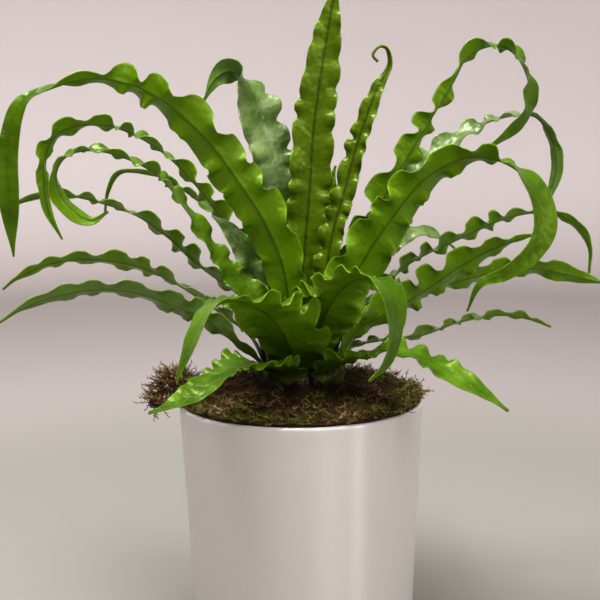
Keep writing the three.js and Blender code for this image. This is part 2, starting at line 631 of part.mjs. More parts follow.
// Joins stations of six vertices (three on the upper face, then three on the lower) into one closed surface.
function bladeMesh(vertices, count) {
  const triangles = [];
  const quad = (a, b, c, d) => triangles.push(a, c, b, a, d, c);
  for (let s = 0; s + 1 < count; s++) {
    const [a, b] = [6 * s, 6 * s + 6];
    for (const column of [0, 1]) {
      quad(a + column, a + column + 1, b + column + 1, b + column);
      triangles.push(a + column + 3, a + column + 4, b + column + 4);
      triangles.push(a + column + 3, b + column + 4, b + column + 3);
    }
    quad(a + 3, a, b, b + 3);
    quad(a + 2, a + 5, b + 5, b + 2);
  }
  const end = 6 * (count - 1);
  for (const column of [0, 1]) {
    quad(column + 3, column + 4, column + 1, column);
    quad(end + column, end + column + 1, end + column + 4, end + column + 3);
  }
  const geometry = new THREE.BufferGeometry().setFromPoints(vertices);
  geometry.setIndex(triangles);
  return geometry;
}

// ---- The potted fern -------------------------------------------------------------------------------------
const fern = new THREE.Group();
fern.add(named("pot", potGeometry(), glaze));
fern.add(named("soil", soilGeometry(), growingMedium));
fern.add(named("crown", crownGeometry(FRONDS.map(footing)), scalyStem));
fern.add(named("moss", ringOf(mossSection, MOSS_SIDES), drySphagnum));
for (const frond of FRONDS) fern.add(named(`frond_${frond.name}`, frondGeometry(frond), leaf));

export default fern;
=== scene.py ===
"""A potted fern with long wavy-edged strap fronds, in a tapered pearl-glazed pot topped with loose moss."""

import math
import random

import bmesh
import bpy
from mathutils import Matrix, Vector, noise


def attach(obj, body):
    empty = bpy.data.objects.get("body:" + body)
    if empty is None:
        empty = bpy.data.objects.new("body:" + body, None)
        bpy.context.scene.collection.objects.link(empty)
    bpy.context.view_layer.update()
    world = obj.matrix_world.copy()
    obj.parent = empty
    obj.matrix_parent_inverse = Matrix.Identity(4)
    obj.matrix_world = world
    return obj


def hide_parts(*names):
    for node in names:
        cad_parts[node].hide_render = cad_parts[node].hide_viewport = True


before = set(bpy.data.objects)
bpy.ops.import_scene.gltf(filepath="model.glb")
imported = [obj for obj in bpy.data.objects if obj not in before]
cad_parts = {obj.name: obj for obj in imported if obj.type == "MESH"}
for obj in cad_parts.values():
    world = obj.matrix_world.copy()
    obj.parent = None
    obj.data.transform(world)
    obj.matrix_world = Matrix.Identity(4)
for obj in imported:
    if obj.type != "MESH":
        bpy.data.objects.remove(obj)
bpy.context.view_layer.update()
MM = 0.001  # sizes are written in millimetres, and the meshes are in metres

# ---- Pot -------------------------------------------------------------------------------------------------
# One thin shell of fired clay with a flat base and a rounded lip, a little narrower at its foot.
# It is dipped in a pearl white glaze that shines softly, and it only stands on what is under it.
POT_HEIGHT = 150
POT_RIM_RADIUS = 75
POT_BASE_RADIUS = 67.5
POT_WALL = 3.5
POT_FLOOR = 5
LIP = POT_WALL / 2
LIP_START = POT_HEIGHT - 4
FOOT_ROUNDING = 1.5
FOOT_TOP = 4
INNER_ROUNDING = 2
INNER_CORNER = POT_FLOOR + INNER_ROUNDING
INNER_WALL_START = 9
WALL_STEP = 15
POT_STEPS = 160
MERGE_DISTANCE = 1e-6
PEARL_BODY = (0.655, 0.612, 0.592)
PEARL_GLINT = (0.73, 0.69, 0.67)


def new_material(name):
    """A material with its node tree and its Principled shader."""
    material = bpy.data.materials.new(name)
    material.use_nodes = True
    return material, material.node_tree, material.node_tree.nodes["Principled BSDF"]


def feed(tree, node, inputs):
    """Links each input that is given a socket, and gives any other its value."""
    for name, value in inputs.items():
        if isinstance(value, bpy.types.NodeSocket):
            tree.links.new(value, node.inputs[name])
        else:
            node.inputs[name].default_value = value


def add(tree, kind, inputs=None, **settings):
    """Adds a node with its settings, and feeds its inputs."""
    node = tree.nodes.new(kind)
    for name, value in settings.items():
        setattr(node, name, value)
    feed(tree, node, inputs or {})
    return node


def maths(tree, operation, a, b=0.0):
    """The result of one sum."""
    return add(tree, "ShaderNodeMath", {0: a, 1: b}, operation=operation).outputs[0]


def mottled(tree, place, scale, detail):
    """Soft noise from 0 to 1, which is finer the larger its scale."""
    inputs = {"Vector": place, "Scale": scale, "Detail": detail}
    return add(tree, "ShaderNodeTexNoise", inputs).outputs["Fac"]


def fade(tree, value, low, high, from_value=0.0, to_value=1.0):
    """Runs smoothly from one value to another as value goes from low to high."""
    ranges = {"Value": value, "From Min": low, "From Max": high, "To Min": from_value, "To Max": to_value}
    return add(tree, "ShaderNodeMapRange", ranges, interpolation_type="SMOOTHSTEP").outputs["Result"]


def blend(tree, share, a, b):
    """Colour a at share 0 and colour b at share 1."""
    inputs = {0: share}
    for number, colour in ((6, a), (7, b)):
        inputs[number] = colour if isinstance(colour, bpy.types.NodeSocket) else (*colour, 1)
    return add(tree, "ShaderNodeMix", inputs, data_type="RGBA").outputs[2]


def bumped(tree, height, distance):
    """A normal that follows height, whose full step is distance in metres."""
    inputs = {"Height": height, "Distance": distance, "Strength": 1}
    return add(tree, "ShaderNodeBump", inputs).outputs["Normal"]


def make_piece(name, shape, material, node):
    """Turns a bmesh into a piece that stands for a CAD node and rides where it does."""
    mesh = bpy.data.meshes.new(name)
    shape.to_mesh(mesh)
    shape.free()
    mesh.shade_smooth()
    mesh.materials.append(material)
    piece = bpy.data.objects.new(name, mesh)
    bpy.context.scene.collection.objects.link(piece)
    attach(piece, "root")
    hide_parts(node)


def spun(outline, steps):
    """A bmesh turned about +Z from an outline of (radius, height) points that starts on the axis."""
    shape = bmesh.new()
    verts = [shape.verts.new((radius * MM, 0, height * MM)) for radius, height in outline]
    edges = [shape.edges.new(pair) for pair in zip(verts, verts[1:])]
    full_turn = {"cent": (0, 0, 0), "axis": (0, 0, 1), "angle": 2 * math.pi, "use_merge": True}
    bmesh.ops.spin(shape, geom=verts + edges, steps=steps, **full_turn)
    bmesh.ops.remove_doubles(shape, verts=shape.verts, dist=MERGE_DISTANCE)
    bmesh.ops.recalc_face_normals(shape, faces=shape.faces)
    return shape


def pot_outside(z):
    """The radius of the pot's outer face at height z."""
    return POT_BASE_RADIUS + (POT_RIM_RADIUS - POT_BASE_RADIUS) * z / POT_HEIGHT


def pot_inside(z):
    """The radius of the pot's inner face at height z."""
    return pot_outside(z) - POT_WALL


def arc(radius, height, size, start, end, count=7):
    """Points of a rounding about (radius, height), from one angle to another in degrees."""
    angles = [math.radians(start + (end - start) * i / (count - 1)) for i in range(count)]
    return [(radius + size * math.cos(a), height + size * math.sin(a)) for a in angles]


pot_outline = [
    (0, 0),
    (POT_BASE_RADIUS - 2 * FOOT_ROUNDING, 0),
    *arc(POT_BASE_RADIUS - FOOT_ROUNDING, FOOT_ROUNDING, FOOT_ROUNDING, -90, 0),
    (pot_outside(FOOT_TOP), FOOT_TOP),
    *((pot_outside(z), z) for z in range(WALL_STEP, LIP_START, WALL_STEP)),
    (pot_outside(LIP_START), LIP_START),
    *arc(POT_RIM_RADIUS - LIP, POT_HEIGHT - LIP, LIP, 0, 180, count=13),
    (pot_inside(LIP_START), LIP_START),
    (pot_inside(INNER_WALL_START), INNER_WALL_START),
    *arc(pot_inside(INNER_CORNER) - INNER_ROUNDING, INNER_CORNER, INNER_ROUNDING, 0, -90),
    (0, POT_FLOOR),
]

pearl_glaze, tree, shader = new_material("pearl_glaze")
place = add(tree, "ShaderNodeTexCoord").outputs["Object"]
pearl = mottled(tree, place, scale=900, detail=2)
glints = fade(tree, pearl, 0.5, 0.75, to_value=0.3)
feed(tree, shader, {
    "Base Color": blend(tree, glints, PEARL_BODY, PEARL_GLINT),
    "Normal": bumped(tree, pearl, distance=0.000006),
    "Roughness": 0.42,
    "Anisotropic": 0.9,
    "Anisotropic Rotation": 0.25,
    "Metallic": 0.25,
    "Coat Weight": 0.35,
    "Coat Roughness": 0.16,
})

make_piece("pearl_pot", spun(pot_outline, POT_STEPS), pearl_glaze, "pot")

# ---- Soil ------------------------------------------------------------------------------------------------
# Dark, crumbly growing medium that fills the pot round the roots. It is packed in by hand, and the moss
# lies on it, so it only shows through gaps. Its solid is right as it is.
CRUMB_TOP = (0.035, 0.022, 0.013)
# The colour below is painted shade, for the gaps between the crumbs.
CRUMB_GAP_SHADE = (0.012, 0.008, 0.005)
DRY_CRUMB = (0.07, 0.045, 0.025)

growing_medium, tree, shader = new_material("growing_medium")
place = add(tree, "ShaderNodeTexCoord").outputs["Object"]
crumbs = add(tree, "ShaderNodeTexVoronoi", {"Vector": place, "Scale": 420}).outputs["Distance"]
damp = mottled(tree, place, scale=45, detail=4)
# The gaps between the crumbs are painted darker, as shade.
dark = blend(tree, fade(tree, crumbs, 0.1, 0.6), CRUMB_TOP, CRUMB_GAP_SHADE)
feed(tree, shader, {
    "Base Color": blend(tree, fade(tree, damp, 0.5, 0.8), dark, DRY_CRUMB),
    "Roughness": fade(tree, damp, 0.3, 0.8, from_value=0.75, to_value=0.95),
    "Normal": bumped(tree, maths(tree, "SUBTRACT", damp, crumbs), distance=0.0015),
})
soil_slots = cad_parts["soil"].data.materials
soil_slots.clear()
soil_slots.append(growing_medium)

# ---- Crown -----------------------------------------------------------------------------------------------
# The fern's short, woody rootstock, at the surface of the soil. Dry brown scales cover it and stand in
# tufts round the foot of each frond, which grows straight out of it.
SOIL_TOP = 138
CROWN_RADIUS = 28
CROWN_TOP = 163
CROWN_FALL = 9
CROWN_BOTTOM = 132.3
CROWN_STEPS = 72
SIDE_STEP = 3
LUMP_HEIGHT = 1.2
LUMP_SCALE = 160
SCALE_COUNT = 900
SCALE_LENGTH = 8
SCALE_FOOT = 0.9
SCALE_TIP = 0.05
SCALE_FLATNESS = 0.3
SCALE_SUNK = 1.5
SCALE_LEAN = (15, 70)  # degrees
SCALE_TWIST = 0.5  # radians
SCALE_SIZES = (0.6, 1.1)
GOLDEN_ANGLE = 137.508  # degrees from one scale or frond to the next
SCALE_DARK = (0.018, 0.009, 0.004)
SCALE_BROWN = (0.075, 0.036, 0.013)
SCALE_DRY = (0.13, 0.075, 0.03)

rootstock, tree, shader = new_material("scaly_rootstock")
place = add(tree, "ShaderNodeTexCoord").outputs["Object"]
fibre = mottled(tree, place, scale=500, detail=3)
patch = mottled(tree, place, scale=90, detail=2)
scaly = blend(tree, fade(tree, patch, 0.35, 0.7), SCALE_DARK, SCALE_BROWN)
feed(tree, shader, {
    "Base Color": blend(tree, fade(tree, fibre, 0.5, 0.8), scaly, SCALE_DRY),
    "Normal": bumped(tree, fibre, distance=0.0006),
    "Roughness": 0.8,
})


def crown_height(radius):
    """The height of the crown's domed top, this far from its middle."""
    return CROWN_TOP - CROWN_FALL * (radius / CROWN_RADIUS) ** 2


def around(radius, angle, height):
    """The place at an angle, in radians, about the pot's axis."""
    return Vector((radius * math.cos(angle), radius * math.sin(angle), height))


def place_copies(target, pattern, matrices, layer=None, values=()):
    """Adds a copy of a small bmesh to target for each matrix, and gives its points a value in layer."""
    for number, matrix in enumerate(matrices):
        copies = {}
        for vert in pattern.verts:
            copies[vert] = target.verts.new(matrix @ vert.co)
            if layer:
                copies[vert][layer] = values[number]
        for face in pattern.faces:
            target.faces.new([copies[vert] for vert in face.verts])


crown_outline = [
    (0, CROWN_BOTTOM),
    (CROWN_RADIUS, CROWN_BOTTOM),
    *((CROWN_RADIUS, z) for z in range(SOIL_TOP - 2, CROWN_TOP - CROWN_FALL, SIDE_STEP)),
    *((radius, crown_height(radius)) for radius in range(CROWN_RADIUS - 1, 0, -2)),
    (0, CROWN_TOP),
]
crown = spun(crown_outline, CROWN_STEPS)
for vert in crown.verts:
    if vert.co.z > SOIL_TOP * MM:
        vert.co.z += LUMP_HEIGHT * MM * noise.noise(vert.co * LUMP_SCALE)

scale_pattern = bmesh.new()
scale_sizes = {"radius1": SCALE_FOOT * MM, "radius2": SCALE_TIP * MM, "depth": SCALE_LENGTH * MM}
bmesh.ops.create_cone(scale_pattern, cap_ends=True, segments=4, **scale_sizes)
bmesh.ops.scale(scale_pattern, verts=scale_pattern.verts, vec=(1, SCALE_FLATNESS, 1))
bmesh.ops.translate(scale_pattern, verts=scale_pattern.verts, vec=(0, 0, SCALE_LENGTH / 2 * MM))
draw = random.Random(7)
scale_places = []
for k in range(SCALE_COUNT):
    radius = (CROWN_RADIUS - 2) * math.sqrt((k + 0.5) / SCALE_COUNT)
    angle = math.radians(GOLDEN_ANGLE * k)
    foot = around(radius, angle, crown_height(radius) - SCALE_SUNK) * MM
    lean = Matrix.Rotation(math.radians(draw.uniform(*SCALE_LEAN)), 4, "Y")
    twist = Matrix.Rotation(draw.uniform(-SCALE_TWIST, SCALE_TWIST), 4, "Z")
    standing = Matrix.Translation(foot) @ Matrix.Rotation(angle, 4, "Z") @ twist @ lean
    scale_places.append(standing @ Matrix.Scale(draw.uniform(*SCALE_SIZES), 4))
place_copies(crown, scale_pattern, scale_places)
scale_pattern.free()
make_piece("scaly_crown", crown, rootstock, "crown")

# ---- Moss ------------------------------------------------------------------------------------------------
# Loose dried moss, teased out by hand and laid on the soil round the crown up to the lip. It is a springy
# mat of thin branching strands, brown to olive green, and one tuft spills over the lip on the left.
MOSS_HEIGHT = 160
MOSS_RIM_HEIGHT = 155
MOSS_TUFT = 2.2
MOSS_EDGE = 1.5
MOSS_INSET = 1.5
MOSS_SIDES = 180
MOSS_RINGS = 30
EDGE_ROUNDING = (0.75, 1.05)  # shares of the way out, between which the edge rounds down
UNDERSIDE_POINTS = 5  # the last point of a section's underside, which stays smooth
MAT_LUMP_HEIGHT = 1.6
MAT_LUMP_SCALE = 150
MAT_LUMP_LAYERS = (0.7, 2.0, 4)  # how they weaken, how much finer each is, and how many there are
MAT_TONE = 0.2
SPILL_DIRECTION = 175  # degrees from +X towards +Y
SPILL_FULL_ANGLE = 7
SPILL_END_ANGLE = 24
SPILL_REACH = 20
SPILL_HEIGHT = 11
SPILL_RISE = (60, 84)  # radii between which the tuft rises
SPILL_SHARES = (0.7, 1.0)
SPILL_SPREAD = 9  # degrees
SPILL_TILT = (-0.1, 0.7)  # radians
SPILL_DROOP = 7
DROOP_START = 3
CLEARANCE = 0.3
STRAND_COUNT = 2300
STRAND_KINDS = 14
STRAND_LENGTHS = (6, 12)
STRAND_STEPS = 4
STRAND_RADIUS = 0.2
STRAND_BEND = 0.7
LEAFLETS = 9
LEAFLET_LENGTHS = (1.6, 2.8)
LEAFLET_RADIUS = 0.27
GOLDEN_TURN = 2.4  # radians from one leaflet to the next
STRAND_SIZES = (0.6, 1.15)
STRAND_TILT = (-0.1, 0.35)  # radians
LIP_SHARES = (0.88, 1.03)
RIM_TONE = 0.6
CROWN_SHADE = 0.4
TONE_SPREAD = 0.27
PALEST_TONE = 0.86
HANGING_HEIGHT = 148
HANGING_TONE = 0.4
GRAIN_COUNT = 26
GRAIN_TONE = 1.5

dry_moss, tree, shader = new_material("dry_moss")
tone = add(tree, "ShaderNodeAttribute", attribute_name="tone").outputs["Fac"]
place = add(tree, "ShaderNodeTexCoord").outputs["Object"]
speck = mottled(tree, place, scale=700, detail=2)
dapple = mottled(tree, place, scale=60, detail=2)
shift = maths(tree, "MULTIPLY", maths(tree, "SUBTRACT", dapple, 0.5), 0.5)
grit = maths(tree, "MULTIPLY", maths(tree, "SUBTRACT", speck, 0.5), 0.5)
shade = maths(tree, "ADD", maths(tree, "ADD", tone, shift), grit)


def moss_colours(stops):
    """A strand's colour from its shade, by the (shade, colour) stops."""
    ramp = add(tree, "ShaderNodeValToRGB", {"Fac": shade})
    while len(ramp.color_ramp.elements) < len(stops):
        ramp.color_ramp.elements.new(0.5)
    for element, (position, colour) in zip(ramp.color_ramp.elements, stops):
        element.position = position
        element.color = (*colour, 1)
    return ramp.outputs["Color"]


olive = moss_colours([
    (0.0, (0.005, 0.004, 0.001)),
    (0.3, (0.025, 0.018, 0.003)),
    (0.55, (0.105, 0.085, 0.010)),
    (0.78, (0.200, 0.185, 0.020)),
    (1.0, (0.460, 0.410, 0.140)),
])
brown = moss_colours([
    (0.0, (0.006, 0.002, 0.001)),
    (0.3, (0.035, 0.012, 0.004)),
    (0.55, (0.120, 0.052, 0.012)),
    (0.78, (0.230, 0.125, 0.032)),
    (0.93, (0.400, 0.270, 0.110)),
    (1.0, (0.780, 0.680, 0.500)),
])
patch = mottled(tree, place, scale=38, detail=1)
left_right = add(tree, "ShaderNodeSeparateXYZ", {0: place}).outputs["X"]
on_tuft = fade(tree, left_right, -0.08, -0.062, from_value=1, to_value=0)
browned = maths(tree, "MAXIMUM", fade(tree, patch, 0.45, 0.58), on_tuft)
feed(tree, shader, {
    "Base Color": blend(tree, browned, olive, brown),
    "Normal": bumped(tree, speck, distance=0.0004),
    "Roughness": 0.85,
    "Specular IOR Level": 0.15,
})


def smoothstep(value, low, high):
    """Rises smoothly from 0 at low to 1 at high."""
    t = min(max((value - low) / (high - low), 0), 1)
    return t * t * (3 - 2 * t)


def lerp(a, b, t):
    """The value at share t of the way from a to b."""
    return a + (b - a) * t


def spill(angle):
    """1 where the moss spills over the lip, falling to 0 beside it."""
    off = (math.degrees(angle) - SPILL_DIRECTION + 180) % 360 - 180
    return 1 - smoothstep(abs(off), SPILL_FULL_ANGLE, SPILL_END_ANGLE)


def spill_droop(radius):
    """How far the moss hangs down, where it reaches out past the lip."""
    start = POT_RIM_RADIUS + DROOP_START
    return SPILL_DROOP * smoothstep(radius, start, start + SPILL_REACH)


def moss_top(radius, angle):
    """The height of the moss's mounds, which are made of three sizes of wave."""
    share = min(max((radius - CROWN_RADIUS) / (POT_RIM_RADIUS - CROWN_RADIUS), 0), 1)
    large = math.sin(7 * angle + radius / 5) * math.cos(radius / 6)
    middling = 0.7 * math.sin(13 * angle - radius / 3.5)
    small = 0.5 * math.sin(23 * angle + radius / 2.5)
    raised = SPILL_HEIGHT * spill(angle) * smoothstep(radius, *SPILL_RISE)
    return lerp(MOSS_HEIGHT, MOSS_RIM_HEIGHT, share) + 0.6 * MOSS_TUFT * (large + middling + small) + raised


def moss_edge(angle):
    """How far out the moss reaches in one direction."""
    ragged = 0.7 * math.sin(5 * angle + 1) + 0.5 * math.sin(11 * angle)
    fringe = 2 * math.sin(17 * angle) * spill(angle)
    return POT_RIM_RADIUS - MOSS_INSET + ragged + SPILL_REACH * spill(angle) + fringe


def moss_surface(share, angle):
    """The (radius, height) of the moss's top, from beside the crown at share 0 to its edge at share 1."""
    radius = lerp(CROWN_RADIUS + CLEARANCE, moss_edge(angle), share)
    lowest = POT_HEIGHT + 2 * CLEARANCE - spill_droop(radius) + MOSS_EDGE
    rounded = smoothstep(share, *EDGE_ROUNDING)
    return radius, max(lowest, lerp(moss_top(radius, angle), lowest, rounded))


def moss_section(angle):
    """The moss's closed outline in one direction, as (radius, height) points."""
    inner = CROWN_RADIUS + CLEARANCE
    foot = SOIL_TOP + CLEARANCE
    over_lip = POT_HEIGHT + 2 * CLEARANCE
    edge = moss_edge(angle)
    wall = [(pot_inside(z) - 2 * CLEARANCE, z) for z in (foot, POT_HEIGHT - LIP)]
    return [
        (inner, foot),
        *wall,
        (wall[1][0], over_lip),
        (min(edge - 1, POT_RIM_RADIUS + 1), over_lip),
        (edge, over_lip - spill_droop(edge)),
        *(moss_surface(1 - i / (MOSS_RINGS - 1), angle) for i in range(MOSS_RINGS)),
        (inner, foot),
    ]


# The mat is a grid, with a column of points for each direction round the pot. Its ends are merged.
moss = bmesh.new()
tone_layer = moss.verts.layers.float.new("tone")
directions = [2 * math.pi * side / MOSS_SIDES for side in range(MOSS_SIDES)]
sections = [moss_section(angle) for angle in directions]
last_point = len(sections[0]) - 1
bmesh.ops.create_grid(moss, x_segments=MOSS_SIDES, y_segments=last_point, size=0.5)
for vert in moss.verts:
    side = round((vert.co.x + 0.5) * MOSS_SIDES) % MOSS_SIDES
    number = round((vert.co.y + 0.5) * last_point)
    radius, height = sections[side][number]
    vert.co = around(radius, directions[side], height) * MM
    if UNDERSIDE_POINTS < number < last_point:
        vert.co.z += MAT_LUMP_HEIGHT * MM * noise.fractal(vert.co * MAT_LUMP_SCALE, *MAT_LUMP_LAYERS)
    vert[tone_layer] = MAT_TONE
bmesh.ops.remove_doubles(moss, verts=moss.verts, dist=MERGE_DISTANCE)
bmesh.ops.recalc_face_normals(moss, faces=moss.faces)


def strand_pattern(draw, length):
    """One moss strand in millimetres: a bent three-sided stem along +X with small pointed leaves."""
    pattern = bmesh.new()
    lying = Matrix.Rotation(math.pi / 2, 4, "Y")
    bmesh.ops.create_circle(pattern, segments=3, radius=STRAND_RADIUS, cap_ends=True, matrix=lying)
    tip = pattern.faces[:][0]
    heading = Vector((1, 0, 0.1))
    spine = [Vector()]
    for _ in range(STRAND_STEPS):
        grown = bmesh.ops.extrude_face_region(pattern, geom=[tip])["geom"]
        tip = next(part for part in grown if isinstance(part, bmesh.types.BMFace))
        bend = Vector((0, draw.uniform(-STRAND_BEND, STRAND_BEND), draw.uniform(-0.3, 0.2)))
        heading = (heading + bend).normalized()
        spine.append(spine[-1] + heading * length / STRAND_STEPS)
        bmesh.ops.translate(pattern, verts=tip.verts, vec=spine[-1] - spine[-2])
    for leaflet in range(LEAFLETS):
        share = (leaflet + 0.7) / LEAFLETS * STRAND_STEPS
        i = min(int(share), STRAND_STEPS - 1)
        size = draw.uniform(*LEAFLET_LENGTHS)
        lean = Matrix.Rotation(draw.uniform(0.4, 1.0), 4, "Y")
        outward = Matrix.Rotation(GOLDEN_TURN * leaflet, 4, "X") @ lean
        foot = Matrix.Translation(spine[i].lerp(spine[i + 1], share - i))
        into_place = foot @ outward @ Matrix.Translation((0, 0, size / 2))
        sizes = {"segments": 3, "radius1": LEAFLET_RADIUS, "radius2": 0, "depth": size}
        bmesh.ops.create_cone(pattern, cap_ends=True, matrix=into_place, **sizes)
    bmesh.ops.recalc_face_normals(pattern, faces=pattern.faces)
    return pattern


draw = random.Random(11)
strands = [strand_pattern(draw, draw.uniform(*STRAND_LENGTHS)) for _ in range(STRAND_KINDS)]
places = [[] for _ in strands]
tones = [[] for _ in strands]
for k in range(STRAND_COUNT):
    on_spill = k % 6 == 0
    if on_spill:
        angle = math.radians(SPILL_DIRECTION + draw.gauss(0, SPILL_SPREAD))
        share = draw.uniform(*SPILL_SHARES)
    else:
        # Two in five of the rest lie near the lip.
        angle = draw.uniform(0, 2 * math.pi)
        share = draw.uniform(*LIP_SHARES) if k % 5 < 2 else math.sqrt(draw.uniform(0, 0.9))
    radius, height = moss_surface(share, angle)
    ground = around(radius, angle, height + draw.uniform(-0.6, 1))
    tilt = draw.uniform(*(SPILL_TILT if on_spill else STRAND_TILT))
    # Near the lip the strands lie round the pot, so few of them hang out past it.
    outward = draw.uniform(0, 2 * math.pi)
    if share > 0.8 and not on_spill:
        outward = angle + math.pi / 2 + draw.uniform(-0.5, 0.3) + draw.choice((0, math.pi))
    matrix = Matrix.Translation(ground) @ Matrix.Rotation(outward, 4, "Z") @ Matrix.Rotation(-tilt, 4, "Y")
    number = draw.randrange(len(strands))
    places[number].append(Matrix.Scale(MM, 4) @ matrix @ Matrix.Scale(draw.uniform(*STRAND_SIZES), 4))
    # The moss is darker in the shade of the fronds, round the crown.
    lit = RIM_TONE - CROWN_SHADE * (1 - smoothstep(share, 0.15, 0.75))
    tones[number].append(min(PALEST_TONE, abs(draw.gauss(lit, TONE_SPREAD))))
# A few strands hang loose below the tuft.
for x, y, lean in ((-90, -8, 85), (-88, -13, 110), (-86, -11, 60), (-91, -3, 95)):
    hanging = Matrix.Translation((x, y, HANGING_HEIGHT)) @ Matrix.Rotation(math.radians(lean), 4, "Y")
    places[0].append(Matrix.Scale(MM, 4) @ hanging)
    tones[0].append(HANGING_TONE)
for strand, matrices, values in zip(strands, places, tones):
    place_copies(moss, strand, matrices, tone_layer, values)
    strand.free()
# Pale grains lie in the tuft.
grain = bmesh.new()
bmesh.ops.create_icosphere(grain, subdivisions=1, radius=1)
grain_places = []
for k in range(GRAIN_COUNT):
    angle = math.radians(SPILL_DIRECTION + draw.gauss(3, SPILL_SPREAD))
    radius, height = moss_surface(draw.uniform(0.72, 0.98), angle)
    ground = Matrix.Translation(around(radius, angle, height + draw.uniform(0.6, 2.2)))
    grain_places.append(Matrix.Scale(MM, 4) @ ground @ Matrix.Scale(draw.uniform(0.5, 1.1), 4))
place_copies(moss, grain, grain_places, tone_layer, [GRAIN_TONE] * GRAIN_COUNT)
grain.free()
make_piece("loose_moss", moss, dry_moss, "moss")

# ---- Fronds ----------------------------------------------------------------------------------------------
# Each frond is one undivided leaf that grew from the crown on a short dark stalk: a leathery strap with a
# firm rib down its middle, a glossy upper face, a duller underside and an edge that waves up and down.
SOCKET_SPACING = 3.5
SOCKET_DEPTH = 9
STALK_LENGTH = 14
STALK_WIDTH = 3
STALK_THICKNESS = 2.4
BLADE_START = SOCKET_DEPTH + 2
BLADE_FULL = STALK_LENGTH + 8
BLADE_THICKNESS = 0.6
BLADE_CUP = 0.14
BLADE_MERGE_DISTANCE = 1e-7
RIDGE_WIDTH = 0.9
RIDGE_ABOVE = 0.25
RIDGE_BELOW = 0.8
EDGE_SCALLOP = 0.14
FULL_WAVE = 3
CREST_SPREAD = 0.35
WAVE_DEPTH = 0.5
EDGE_CRIMP = 0.1
LOOP = 0.25
MOST_LOOP = 0.8
CREST_ROUNDING = 0.75
DRIFT_PERIOD = 3.3
SWAY_PERIOD = 4.1
SWELL_PERIOD = 2.3
CRIMP_RATE = 3.1
WAVE_DRIFT = 0.2
WAVE_SWELL = 0.3
BLADE_SWAY = 9
RIB_SAMPLES = 400
RIB_NUDGE = 1e-4
SUBSTEPS = 5

